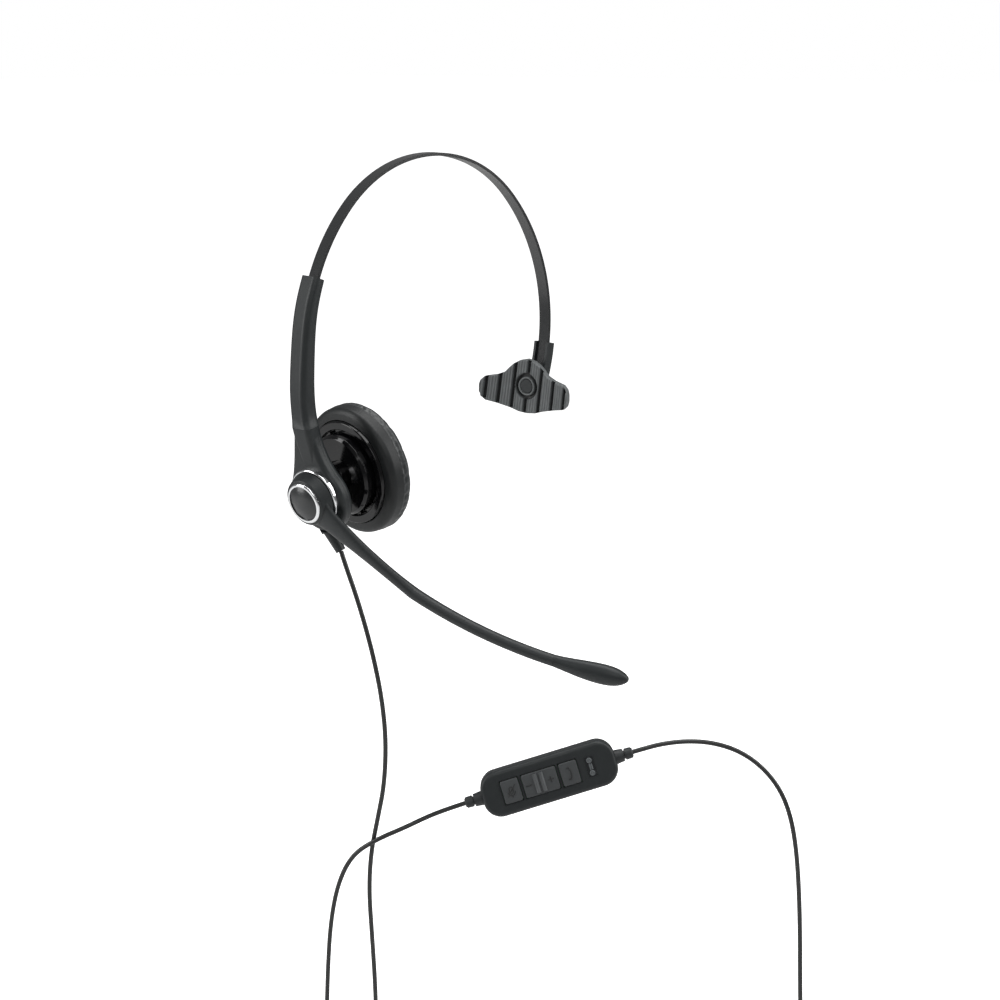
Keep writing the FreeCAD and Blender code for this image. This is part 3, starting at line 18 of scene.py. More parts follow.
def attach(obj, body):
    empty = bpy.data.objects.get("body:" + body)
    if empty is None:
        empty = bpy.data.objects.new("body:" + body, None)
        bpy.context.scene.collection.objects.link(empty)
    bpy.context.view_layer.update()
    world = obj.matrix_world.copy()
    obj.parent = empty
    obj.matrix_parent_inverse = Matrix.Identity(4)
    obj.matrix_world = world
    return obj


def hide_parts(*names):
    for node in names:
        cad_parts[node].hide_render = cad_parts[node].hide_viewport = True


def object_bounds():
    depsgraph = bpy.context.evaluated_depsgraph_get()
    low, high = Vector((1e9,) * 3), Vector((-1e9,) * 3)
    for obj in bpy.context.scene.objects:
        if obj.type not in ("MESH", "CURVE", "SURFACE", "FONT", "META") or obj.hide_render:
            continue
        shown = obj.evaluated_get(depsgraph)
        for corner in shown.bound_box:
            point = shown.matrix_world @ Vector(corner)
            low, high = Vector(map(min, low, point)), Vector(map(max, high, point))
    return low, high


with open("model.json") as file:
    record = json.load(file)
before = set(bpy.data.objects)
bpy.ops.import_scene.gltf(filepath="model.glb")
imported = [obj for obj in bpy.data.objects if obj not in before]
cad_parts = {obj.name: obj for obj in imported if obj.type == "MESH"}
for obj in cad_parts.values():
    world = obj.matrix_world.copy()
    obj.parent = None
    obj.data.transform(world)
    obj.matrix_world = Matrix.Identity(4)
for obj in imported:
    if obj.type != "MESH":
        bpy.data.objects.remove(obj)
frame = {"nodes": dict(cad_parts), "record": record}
cad_low, cad_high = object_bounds()
print("frame box in mm:", [round(v * 1000) for v in (*cad_low, *cad_high)])

# %% [markdown]
# ## The camera
# A long-ish lens keeps the headset's proportions calm. The camera looks from the front left
# of the headset and slightly from above, so its place is set by two angles and a distance
# from the point it looks at.

# %% Place the camera
LOOK_AZIMUTH = -51.29
LOOK_ELEVATION = 14.69
LOOK_DISTANCE = 0.89386
LOOK_AT = Vector((0.08966, -0.00885, -0.03482))
LENS = 61.67

camera_turn = Euler((math.radians(90 - LOOK_ELEVATION), 0,
                     math.radians(LOOK_AZIMUTH))).to_matrix()
camera = bpy.data.objects.new("camera", bpy.data.cameras.new("camera"))
camera.location = LOOK_AT + camera_turn @ Vector((0, 0, LOOK_DISTANCE))
camera.rotation_euler = camera_turn.to_euler()
camera.data.lens = LENS
camera.data.clip_start = 0.01
bpy.context.collection.objects.link(camera)
bpy.context.scene.camera = camera
print("camera at", [round(v, 3) for v in camera.location])

# %% [markdown]
# ## Cords
# The cord is one flexible jacketed cable, so its centre line is one smooth NURBS spline. The
# visible stretches hang in long bends; the spare length is wound into two small tied hanks
# below. A hank's turns are more points of the same spline: they step round the bundle so
# that each turn lies beside the last one.

# %% Cord routes, in millimetres
CORD_DIAMETER = 2.3
HEADSET_TO_COIL = [
    (-27.0, -6.3, -36.3), (-26.8, -9.1, -43.6), (-25.8, -13.6, -55.3), (-24.6, -19.1, -72.4),
    (-23.2, -23.2, -89.9), (-21.7, -25.9, -108.0), (-20.9, -27.3, -128.4), (-21.5, -26.3, -151.3),
    (-23.7, -23.2, -170.3), (-25.7, -20.4, -187.4), (-26.4, -19.1, -208.0), (-25.9, -20.1, -232.5),
    (-26.0, -21.6, -257.2), (-27.1, -22.9, -278.3)]
COIL_TO_CONTROL = [
    (-42.6, -3.5, -277.3), (-40.0, -2.6, -252.4), (-37.5, -3.0, -226.2), (-34.9, -6.4, -204.6),
    (-31.3, -13.2, -188.7), (-26.2, -25.2, -178.9), (-17.2, -34.1, -173.9), (-6.9, -42.5, -168.4),
    (-1.1, -50.5, -164.3), (3.4, -56.5, -161.5)]
CONTROL_TO_COIL = [
    (59.0, -115.9, -137.5), (63.1, -120.3, -135.8), (68.7, -126.4, -133.7), (75.7, -134.6, -132.4),
    (82.9, -143.7, -132.8), (89.6, -153.3, -135.6), (94.9, -162.1, -141.0), (98.7, -170.3, -149.0),
    (100.7, -176.8, -158.7), (101.9, -181.1, -171.1), (102.9, -183.8, -186.5),
    (103.7, -185.7, -206.6), (104.1, -187.3, -230.7), (103.7, -188.9, -258.1),
    (103.2, -190.6, -280.3)]
COIL_TO_PLUG = [(104.0, -193.5, -305.0), (103.6, -193.7, -312.0)]
COIL_MEAN_RADIUS = 12.65
COIL_ACROSS = Vector((0.6254, -0.7803, 0))
COIL_FRONT = Vector((-0.7803, -0.6254, 0))
HEADSET_COIL_CENTRE = Vector((-33.7, -11.8, -299.1))
PLUG_COIL_CENTRE = Vector((97.0, -179.8, -297.2))

# %% The turns of a hank
POINTS_PER_TURN = 14
TURN_STEP = math.radians(40)
BUNDLE_REACH = CORD_DIAMETER / (2 * math.sin(TURN_STEP / 2))


def hank_turns(centre, turns):
    """Points of a tied hank, wound clockwise from its right side; the cord enters going down."""
    points = []
    for step in range(int(turns * POINTS_PER_TURN) + 1):
        share = step / POINTS_PER_TURN
        around = -share * 2 * math.pi
        place = math.radians(90) + share * TURN_STEP
        reach = COIL_MEAN_RADIUS + BUNDLE_REACH * math.cos(place)
        point = centre + COIL_ACROSS * (reach * math.cos(around))
        point += COIL_FRONT * (BUNDLE_REACH * math.sin(place))
        point.z += reach * math.sin(around)
        points.append(tuple(point))
    return points


def cord_curve(name, points):
    """A round cord on a smooth open NURBS spline, points given in millimetres.

    A curve's box is measured out to its points' own radius, so the size is set there."""
    curve = bpy.data.curves.new(name, "CURVE")
    curve.dimensions = "3D"
    curve.resolution_u = 6
    curve.bevel_depth = 1.0
    curve.bevel_resolution = 4
    curve.use_fill_caps = True
    spline = curve.splines.new("NURBS")
    spline.points.add(len(points) - 1)
    for spot, point in zip(spline.points, points):
        spot.co = (point[0] / 1000, point[1] / 1000, point[2] / 1000, 1)
        spot.radius = CORD_DIAMETER / 2000
    spline.order_u = 3
    spline.use_endpoint_u = True
    cord = bpy.data.objects.new(name, curve)
    bpy.context.collection.objects.link(cord)
    return cord


headset_cord = cord_curve("headset_cord", HEADSET_TO_COIL
                          + hank_turns(HEADSET_COIL_CENTRE, 8.5) + COIL_TO_CONTROL)
plug_cord = cord_curve("plug_cord", CONTROL_TO_COIL
                       + hank_turns(PLUG_COIL_CENTRE, 8) + COIL_TO_PLUG)
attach(headset_cord, "arm")
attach(plug_cord, "arm")
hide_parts("headset_cord_down", "headset_cord_up", "headset_cord_coil")
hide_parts("plug_cord_down", "plug_cord_end", "plug_cord_coil")
print("cord points:", len(headset_cord.data.splines[0].points),
      len(plug_cord.data.splines[0].points))

# %% [markdown]
# ## Light and floor
# Product studios light a black object with large soft boxes, because what makes black plastic
# readable is the reflection of something broad and pale along its edges. The floor and the
# sky are plain and pale; they look brighter to the camera than to the object, so the black
# parts keep their depth.

# %% Studio
camera_right = camera_turn @ Vector((1, 0, 0))
camera_up = camera_turn @ Vector((0, 1, 0))
camera_back = camera_turn @ Vector((0, 0, 1))


def soft_box(name, right, up, back, size, power):
    """A square light placed about the headset by the camera's own directions."""
    light = bpy.data.lights.new(name, "AREA")
    light.shape = "RECTANGLE"
    light.size, light.size_y = size
    light.energy = power
    lamp = bpy.data.objects.new(name, light)
    lamp.location = LOOK_AT + camera_right * right + camera_up * up + camera_back * back
    lamp.rotation_mode = "QUATERNION"
    lamp.rotation_quaternion = (LOOK_AT - lamp.location).to_track_quat("-Z", "Y")
    bpy.context.collection.objects.link(lamp)


soft_box("soft_box_top", 0.1, 1.25, 0.25, (1.3, 0.8), 13)
soft_box("soft_box_right", 1.15, 0.55, 0.45, (0.6, 1.1), 9)
soft_box("soft_box_left", -1.2, 0.35, 0.35, (0.45, 1.2), 9)
soft_box("soft_box_camera", -0.1, 0.5, 1.5, (0.9, 0.6), 4)


def split_by_camera(tree, camera_value, other_value):
    """A brightness that is one value to the camera and another to everything else."""
    path = tree.nodes.new("ShaderNodeLightPath")
    blend = tree.nodes.new("ShaderNodeMix")
    blend.inputs["A"].default_value = other_value
    blend.inputs["B"].default_value = camera_value
    tree.links.new(path.outputs["Is Camera Ray"], blend.inputs["Factor"])
    return blend.outputs["Result"]


world = bpy.data.worlds.new("studio")
bpy.context.scene.world = world
world.use_nodes = True
sky = world.node_tree.nodes["Background"]
sky.inputs["Color"].default_value = (1, 1, 1, 1)
world.node_tree.links.new(split_by_camera(world.node_tree, 1.0, 0.2), sky.inputs["Strength"])
bpy.context.scene.view_settings.view_transform = "Standard"

floor_mesh = bpy.data.meshes.new("floor")
FLOOR_REACH, FLOOR_DROP = 30.0, 0.012
reach, level = FLOOR_REACH, cad_low.z - FLOOR_DROP
floor_mesh.from_pydata([(-reach, -reach, level), (reach, -reach, level), (reach, reach, level),
                        (-reach, reach, level)], [], [(0, 1, 2, 3)])
floor = bpy.data.objects.new("floor", floor_mesh)
bpy.context.collection.objects.link(floor)
paper = bpy.data.materials.new("pale_paper")
paper.use_nodes = True
paper_shader = paper.node_tree.nodes["Principled BSDF"]
paper_shader.inputs["Base Color"].default_value = (0.8, 0.8, 0.8, 1)
paper_shader.inputs["Roughness"].default_value = 0.9
paper_shader.inputs["Emission Color"].default_value = (1, 1, 1, 1)
paper.node_tree.links.new(split_by_camera(paper.node_tree, 1.0, 0.0),
                          paper_shader.inputs["Emission Strength"])
floor_mesh.materials.append(paper)

# %% [markdown]
# ## Finishes
# Real moulded plastic is never one flat value: the tool leaves a fine grain, handling leaves
# faint smears that change how it shines, and dust settles softly. One node group makes all
# three as masks, and each finish uses it with its own sizes.

# %% A node group: moulded surface
def new_group(name, inputs, outputs):
    """An empty shader group with named sockets; returns the tree and its two end nodes."""
    group = bpy.data.node_groups.new(name, "ShaderNodeTree")
    for label, kind, value in inputs:
        socket = group.interface.new_socket(label, in_out="INPUT", socket_type=kind)
        if value is not None:
            socket.default_value = value
    for label, kind in outputs:
        group.interface.new_socket(label, in_out="OUTPUT", socket_type=kind)
    return group, group.nodes.new("NodeGroupInput"), group.nodes.new("NodeGroupOutput")


def math_node(tree, operation, first, second):
    """A Math node; each operand is a number or another node's output."""
    node = tree.nodes.new("ShaderNodeMath")
    node.operation = operation
    for socket, value in zip(node.inputs, (first, second)):
        if isinstance(value, (int, float)):
            socket.default_value = value
        else:
            tree.links.new(value, socket)
    return node.outputs[0]


MIX_FACTOR, MIX_FIRST, MIX_SECOND, MIX_COLOUR = 0, 6, 7, 2


def blend_colours(tree, factor, first, second):
    """A colour between two others; the Mix node's colour sockets are found by number."""
    node = tree.nodes.new("ShaderNodeMix")
    node.data_type = "RGBA"
    for spot, value in ((MIX_FACTOR, factor), (MIX_FIRST, first), (MIX_SECOND, second)):
        socket = node.inputs[spot]
        if hasattr(value, "is_output"):
            tree.links.new(value, socket)
        else:
            socket.default_value = value
    return node.outputs[MIX_COLOUR]


def noise(tree, place, scale, detail=3.0, rough=0.5):
    """A Noise Texture node read at a position."""
    node = tree.nodes.new("ShaderNodeTexNoise")
    node.inputs["Scale"].default_value = scale
    node.inputs["Detail"].default_value = detail
    node.inputs["Roughness"].default_value = rough
    tree.links.new(place, node.inputs["Vector"])
    return node


FLOAT, COLOUR, VECTOR = "NodeSocketFloat", "NodeSocketColor", "NodeSocketVector"
surface, ins, outs = new_group("moulded_surface", [
    ("Position", VECTOR, None), ("Base", COLOUR, (0.03, 0.03, 0.03, 1)),
    ("Dust", COLOUR, (0.1, 0.1, 0.1, 1)), ("Dust Amount", FLOAT, 0.1),
    ("Roughness", FLOAT, 0.45), ("Smear", FLOAT, 0.1), ("Grain Scale", FLOAT, 2500.0),
], [("Color", COLOUR), ("Roughness", FLOAT), ("Grain", FLOAT)])
smears = noise(surface, ins.outputs["Position"], 38.0, 4.0, 0.6)
dust = noise(surface, ins.outputs["Position"], 240.0, 5.0, 0.65)
grain = noise(surface, ins.outputs["Position"], 1.0, 2.0, 0.5)
surface.links.new(ins.outputs["Grain Scale"], grain.inputs["Scale"])
dust_mask = surface.nodes.new("ShaderNodeMapRange")
dust_mask.inputs["From Min"].default_value = 0.45
dust_mask.inputs["From Max"].default_value = 0.75
surface.links.new(dust.outputs["Fac"], dust_mask.inputs["Value"])
dust_share = math_node(surface, "MULTIPLY", dust_mask.outputs["Result"],
                       ins.outputs["Dust Amount"])
dusty = blend_colours(surface, dust_share, ins.outputs["Base"], ins.outputs["Dust"])
surface.links.new(dusty, outs.inputs["Color"])
smear_swing = math_node(surface, "SUBTRACT", smears.outputs["Fac"], 0.5)
smear = math_node(surface, "MULTIPLY", smear_swing, ins.outputs["Smear"])
surface.links.new(math_node(surface, "ADD", smear, ins.outputs["Roughness"]),
                  outs.inputs["Roughness"])
surface.links.new(grain.outputs["Fac"], outs.inputs["Grain"])
print("group sockets:", [s.name for s in surface.interface.items_tree])

# %% [markdown]
# A finish is a material with one Principled shader. Values that are the same all over are set
# on the shader itself; what changes over the surface comes from the group.

# %% Moulded finishes
def moulded(name, base, roughness, dust=0.12, smear=0.12, grain=2600.0, bump=0.1, coat=0.0,
            metallic=0.0, specular=0.5, depth=0.00002):
    """A material that takes colour, roughness and grain from the moulded-surface group."""
    finish = bpy.data.materials.new(name)
    finish.use_nodes = True
    tree = finish.node_tree
    shader = tree.nodes["Principled BSDF"]
    place = tree.nodes.new("ShaderNodeTexCoord")
    skin = tree.nodes.new("ShaderNodeGroup")
    skin.node_tree = surface
    tree.links.new(place.outputs["Object"], skin.inputs["Position"])
    skin.inputs["Base"].default_value = (*base, 1)
    skin.inputs["Dust"].default_value = (*[min(1, c * 1.6 + 0.015) for c in base], 1)
    skin.inputs["Dust Amount"].default_value = dust
    skin.inputs["Roughness"].default_value = roughness
    skin.inputs["Smear"].default_value = smear
    skin.inputs["Grain Scale"].default_value = grain
    tree.links.new(skin.outputs["Color"], shader.inputs["Base Color"])
    tree.links.new(skin.outputs["Roughness"], shader.inputs["Roughness"])
    relief = tree.nodes.new("ShaderNodeBump")
    relief.inputs["Strength"].default_value = bump
    relief.inputs["Distance"].default_value = depth
    tree.links.new(skin.outputs["Grain"], relief.inputs["Height"])
    tree.links.new(relief.outputs["Normal"], shader.inputs["Normal"])
    shader.inputs["Metallic"].default_value = metallic
    shader.inputs["Coat Weight"].default_value = coat
    shader.inputs["Coat Roughness"].default_value = 0.08
    shader.inputs["Specular IOR Level"].default_value = specular
    return finish


FINISH = {
    "housing": moulded("satin_charcoal_plastic", (0.0125, 0.0155, 0.0165), 0.46, bump=0.35,
                       specular=0.42),
    "satin_ring": moulded("smooth_black_ring", (0.007, 0.0085, 0.009), 0.45, bump=0.15,
                          specular=0.4),
    "gloss_shell": moulded("polished_black_shell", (0.0025, 0.0025, 0.003), 0.13, 0.03, 0.06,
                           bump=0.01, coat=0.15, specular=0.3),
    "hub_cap": moulded("hub_cap_satin", (0.010, 0.012, 0.013), 0.3, 0.06, 0.08, bump=0.08,
                       coat=0.25),
    "chrome_trim": moulded("chrome_plating", (0.82, 0.83, 0.84), 0.07, 0.02, 0.05, bump=0.01,
                           metallic=1.0),
    "band_metal": moulded("black_spring_steel", (0.020, 0.021, 0.022), 0.22, 0.08, 0.1,
                          grain=1800.0, bump=0.08, coat=0.35),
    "pad_rubber": moulded("temple_pad_rubber", (0.105, 0.112, 0.114), 0.5, 0.25, 0.15,
                          grain=3200.0, bump=0.5),
    "soft_sleeve": moulded("soft_touch_sleeve", (0.0115, 0.0145, 0.0155), 0.5, 0.12, 0.15,
                           bump=0.3),
    "cord_jacket": moulded("cord_jacket_pvc", (0.016, 0.017, 0.017), 0.34, 0.15, 0.15, 900.0,
                           0.25),
    "steel": moulded("bright_steel", (0.62, 0.62, 0.63), 0.28, 0.03, 0.1, 1500.0, 0.1,
                     metallic=1.0),
    "slip_plastic": moulded("natural_acetal", (0.72, 0.72, 0.69), 0.4, 0.05, 0.1),
    "film": moulded("driver_film", (0.3, 0.3, 0.29), 0.3, 0.02, 0.1),
    "tie": moulded("hook_and_loop_tie", (0.018, 0.018, 0.019), 0.8, 0.3, 0.1, 1600.0, 0.8),
    "board": moulded("solder_mask", (0.01, 0.09, 0.035), 0.35, 0.05, 0.1),
    "window": moulded("smoked_window", (0.009, 0.011, 0.012), 0.3, 0.04, 0.05, bump=0.02,
                      coat=0.2),
    "key_rubber": moulded("key_caps", (0.046, 0.050, 0.052), 0.46, 0.12, 0.12, bump=0.25),
    "contact_metal": moulded("gold_contacts", (0.83, 0.6, 0.25), 0.2, 0.02, 0.06,
                             metallic=1.0),
}
print("finishes:", ", ".join(FINISH))

# %% [markdown]
# The rigid pieces of the frame keep their shapes and take the finish their material slot
# names.

# %% Give the frame its finishes
slots = {entry["node"]: entry["material_slot"] for entry in frame["record"]["subparts"]}
for node, piece in frame["nodes"].items():
    finish = FINISH.get(slots[node], FINISH["housing"])
    if not piece.material_slots:
        piece.data.materials.append(finish)
    for entry in piece.material_slots:
        entry.link = "OBJECT"
        entry.material = finish
print(len(slots), "pieces finished")

for cord in (headset_cord, plug_cord):
    cord.data.materials.append(FINISH["cord_jacket"])

# %% [markdown]
# ## Leatherette and cloth
# Leatherette has pebbles of unequal size with fine creases between them; a Voronoi texture
# gives the pebbles and noise breaks them up. The speaker cloth is a plain weave, which two
# crossed sine waves describe well. Both are groups, so their sizes can be tried on their own.

# %% A node group: leather grain
leather, ins, outs = new_group("leather_grain", [
    ("Position", VECTOR, None), ("Pebbles", FLOAT, 1300.0), ("Creases", FLOAT, 260.0),
], [("Height", FLOAT), ("Wear", FLOAT)])
pebbles = leather.nodes.new("ShaderNodeTexVoronoi")
pebbles.feature = "SMOOTH_F1"
leather.links.new(ins.outputs["Position"], pebbles.inputs["Vector"])
leather.links.new(ins.outputs["Pebbles"], pebbles.inputs["Scale"])
creases = noise(leather, ins.outputs["Position"], 1.0, 5.0, 0.6)
leather.links.new(ins.outputs["Creases"], creases.inputs["Scale"])
pebble_rise = math_node(leather, "MULTIPLY", pebbles.outputs["Distance"], -0.5)
height = math_node(leather, "ADD", pebble_rise, creases.outputs["Fac"])
leather.links.new(height, outs.inputs["Height"])
leather.links.new(noise(leather, ins.outputs["Position"], 90.0, 4.0, 0.6).outputs["Fac"],
                  outs.inputs["Wear"])

# %% A node group: plain weave
weave, ins, outs = new_group("plain_weave", [
    ("Position", VECTOR, None), ("Threads", FLOAT, 9000.0),
], [("Height", FLOAT), ("Gaps", FLOAT)])
axes = weave.nodes.new("ShaderNodeSeparateXYZ")
weave.links.new(ins.outputs["Position"], axes.inputs["Vector"])
warp, weft = [math_node(weave, "SINE", math_node(weave, "MULTIPLY", axes.outputs[axis],
                                                 ins.outputs["Threads"]), 0.0)
              for axis in ("Y", "Z")]
weave.links.new(math_node(weave, "MULTIPLY", warp, weft), outs.inputs["Height"])
gaps = math_node(weave, "MULTIPLY", math_node(weave, "ABSOLUTE", warp, 0.0),
                 math_node(weave, "ABSOLUTE", weft, 0.0))
weave.links.new(gaps, outs.inputs["Gaps"])


# %% Leatherette and cloth materials
def soft_finish(name, group, sizes, dark, light, mix_from, roughness, bump, depth):
    """A material whose relief and colour change come from one of the two soft groups."""
    finish = bpy.data.materials.new(name)
    finish.use_nodes = True
    tree = finish.node_tree
    shader = tree.nodes["Principled BSDF"]
    place = tree.nodes.new("ShaderNodeTexCoord")
    skin = tree.nodes.new("ShaderNodeGroup")
    skin.node_tree = group
    tree.links.new(place.outputs["Object"], skin.inputs["Position"])
    for label, value in sizes.items():
        skin.inputs[label].default_value = value
    tree.links.new(blend_colours(tree, skin.outputs[mix_from], (*dark, 1), (*light, 1)),
                   shader.inputs["Base Color"])
    relief = tree.nodes.new("ShaderNodeBump")
    relief.inputs["Strength"].default_value = bump
    relief.inputs["Distance"].default_value = depth
    tree.links.new(skin.outputs["Height"], relief.inputs["Height"])
    tree.links.new(relief.outputs["Normal"], shader.inputs["Normal"])
    shader.inputs["Roughness"].default_value = roughness
    shader.inputs["Sheen Weight"].default_value = 0.08
    return finish


LEATHERETTE = soft_finish("black_leatherette", leather, {"Pebbles": 1500.0, "Creases": 420.0},
                          (0.014, 0.016, 0.0165), (0.034, 0.038, 0.039), "Wear",
                          0.38, 0.7, 0.00016)
SPEAKER_CLOTH = soft_finish("woven_speaker_cloth", weave, {"Threads": 9000.0},
                            (0.006, 0.006, 0.007), (0.045, 0.047, 0.05), "Gaps",
                            0.85, 0.8, 0.0001)

# %% [markdown]
# ## The ear cushion
# The cushion is a ring of foam in a leatherette skin, drawn tight to a flange at the back.
# The skin is turned on a profile that already has the cushion's crown. A short cloth
# simulation then pushes air into it with its back pinned: the contact face rises a little
# and the outer rim draws in. The simulation's settings were found by trial, not measured,
# and no point keeps a move of more than 0.6 mm. More than half of the free points reach
# that cap, so the cap decides the result as much as the simulation does. The puckers where
# the skin is gathered into its seams are made last, by moving points, because the
# simulation would iron them out.

# %% A turned skin
CUP = Matrix.Rotation(math.radians(-5.5), 4, "Z") @ Matrix.Rotation(math.radians(-7.4), 4, "Y")


def mesh_piece(name, points, faces, finish, smooth=True):
    """A closed mesh in metres from points in millimetres, with its faces pointing outwards."""
    mesh = bpy.data.meshes.new(name)
    mesh.from_pydata([tuple(c / 1000 for c in p) for p in points], [], faces)
    shape = bmesh.new()
    shape.from_mesh(mesh)
    bmesh.ops.remove_doubles(shape, verts=shape.verts, dist=1e-7)
    bmesh.ops.recalc_face_normals(shape, faces=shape.faces)
    shape.to_mesh(mesh)
    shape.free()
    for face in mesh.polygons:
        face.use_smooth = smooth
    mesh.materials.append(finish)
    piece = bpy.data.objects.new(name, mesh)
    bpy.context.collection.objects.link(piece)
    return piece


def turned_points(profile, around, place):
    """Rings of points from (along, out) pairs, turned about the X axis of a frame."""
    points = []
    for along, out in profile:
        for step in range(around):
            angle = 2 * math.pi * step / around
            points.append(place @ Vector((along, out * math.cos(angle), out * math.sin(angle))))
    return points


def ring_faces(rows, around, closed):
    """Quads between neighbouring rings; a closed profile joins its last ring to its first."""
    faces = []
    for row in range(rows if closed else rows - 1):
        below, above = row * around, ((row + 1) % rows) * around
        for step in range(around):
            after = (step + 1) % around
            faces.append((below + step, below + after, above + after, above + step))
    return faces


def smooth_profile(corners, count, closed=True):
    """Points evenly spread along a Catmull-Rom curve through the corners."""
    spots, total = [], len(corners)
    spans = total if closed else total - 1
    for span in range(spans):
        pick = [corners[(span + k) % total] if closed else
                corners[min(max(span + k, 0), total - 1)] for k in (-1, 0, 1, 2)]
        p0, p1, p2, p3 = [Vector(p) for p in pick]
        for step in range(24):
            t = step / 24
            spots.append(0.5 * ((2 * p1) + (p2 - p0) * t + (2 * p0 - 5 * p1 + 4 * p2 - p3) * t * t
                                + (3 * p1 - p0 - 3 * p2 + p3) * t ** 3))
    if not closed:
        spots.append(Vector(corners[-1]))
    run = [0.0]
    ends = spots + [spots[0]] if closed else spots
    for first, second in zip(ends, ends[1:]):
        run.append(run[-1] + (second - first).length)
    steps = count if closed else count - 1
    wanted = [run[-1] * k / steps for k in range(count)]
    return [(float(np.interp(w, run, [p[0] for p in ends])),
             float(np.interp(w, run, [p[1] for p in ends]))) for w in wanted]


# %% Turn the cushion's skin
CUSHION_CORNERS = [(-6.1, 31.1), (-4.9, 32.1), (-3.0, 32.1), (-1.1, 30.0), (-0.5, 26.8),
                   (-0.45, 22.4), (-0.8, 19.2), (-2.2, 17.2), (-4.2, 16.6), (-5.9, 17.2),
                   (-6.15, 18.6), (-6.15, 23.5), (-6.15, 29.6)]
CUSHION_ROWS, CUSHION_AROUND = 44, 200
cushion_profile = smooth_profile(CUSHION_CORNERS, CUSHION_ROWS)
ear_cushion = mesh_piece("ear_cushion_skin",
                         turned_points(cushion_profile, CUSHION_AROUND, CUP),
                         ring_faces(CUSHION_ROWS, CUSHION_AROUND, True), LEATHERETTE)
print("cushion skin:", len(ear_cushion.data.vertices), "points")


# %% Blow it up a little by cloth simulation
PUFF_FRAMES = 20
PUFF_PRESSURE = 250.0
PUFF_CAP = 0.0006
SKIN_MASS, SKIN_STIFFNESS, SKIN_BENDING = 0.002, 5, 0.3
PINNED_BEHIND = -5.6


def puff(piece, held, pressure, cap):
    """Blow a skin up and keep the result, no point moving further than cap."""
    start = [v.co.copy() for v in piece.data.vertices]
    pins = piece.vertex_groups.new(name="held")
    pins.add(held, 1.0, "REPLACE")
    cloth = piece.modifiers.new("puff", "CLOTH")
    cloth.settings.quality = 5
    cloth.settings.mass = SKIN_MASS
    cloth.settings.tension_stiffness = SKIN_STIFFNESS
    cloth.settings.compression_stiffness = SKIN_STIFFNESS
    cloth.settings.bending_stiffness = SKIN_BENDING
    cloth.settings.use_pressure = True
    cloth.settings.uniform_pressure_force = pressure
    cloth.settings.vertex_group_mass = "held"
    cloth.settings.effector_weights.gravity = 0
    for moment in range(1, PUFF_FRAMES + 1):
        bpy.context.scene.frame_set(moment)
    filled = piece.evaluated_get(bpy.context.evaluated_depsgraph_get())
    moves = [filled.data.vertices[i].co - start[i] for i in range(len(start))]
    piece.modifiers.clear()
    piece.vertex_groups.clear()
    for vertex, place, move in zip(piece.data.vertices, start, moves):
        vertex.co = place + (move if move.length < cap else move * (cap / move.length))
    bpy.context.scene.frame_set(1)
    capped = sum(move.length >= cap for move in moves)
    print(piece.name, "simulated moves up to", round(max(m.length for m in moves) * 1000, 2),
          "mm;", capped, "points cut back to", cap * 1000, "mm")


back_rows = [row for row, (along, _) in enumerate(cushion_profile) if along < PINNED_BEHIND]
held = [row * CUSHION_AROUND + step for row in back_rows for step in range(CUSHION_AROUND)]
puff(ear_cushion, held, PUFF_PRESSURE, PUFF_CAP)

# %% Gather the skin into its seams
random.seed(7)
OUTER_DEPTH, INNER_DEPTH = 0.95, 0.45
GATHERS = [(random.randint(38, 120), random.uniform(0, 6.28), random.uniform(0.4, 1.0))
           for _ in range(9)]
DIMPLES = [(random.uniform(0, 6.28), random.uniform(0.012, 0.035), random.uniform(0.2, 0.6))
           for _ in range(64)]


def gather(angle):
    """How deep the skin is drawn in at an angle, from 0 to about 1."""
    waves = sum(size * math.sin(count * angle + start) for count, start, size in GATHERS) / 4.5
    sharp = 0
    for spot, wide, size in DIMPLES:
        away = (angle - spot + math.pi) % (2 * math.pi) - math.pi
        sharp += size * math.exp(-(away / wide) ** 2)
    return max(0.0, 0.35 + 0.5 * waves) + sharp


normals = [v.normal.copy() for v in ear_cushion.data.vertices]
into_cup = CUP.inverted()
for vertex, normal in zip(ear_cushion.data.vertices, normals):
    place = into_cup @ (vertex.co * 1000)
    out = math.hypot(place.y, place.z)
    angle = math.atan2(place.z, place.y)
    outer = math.exp(-((place.x + 5.2) / 2.1) ** 2) if out > 26 and place.x > -6.0 else 0.0
    inner = math.exp(-((place.x + 5.0) / 1.6) ** 2) if out < 18.5 and place.x > -6.0 else 0.0
    depth = (OUTER_DEPTH * outer * gather(angle + 0.03 * place.x)
             + INNER_DEPTH * inner * gather(2.1 - angle))
    vertex.co -= normal * depth / 1000
soften = ear_cushion.modifiers.new("soften", "SUBSURF")
soften.levels = soften.render_levels = 1
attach(ear_cushion, "ear_cup")
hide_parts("ear_cushion")
print("cushion gathered at", len(DIMPLES), "deeper puckers")

# %% [markdown]
# ## The speaker cloth
# The cloth is stretched over a foam disc, so it stands a little domed in the cushion's bore
# and turns over its edge behind it.

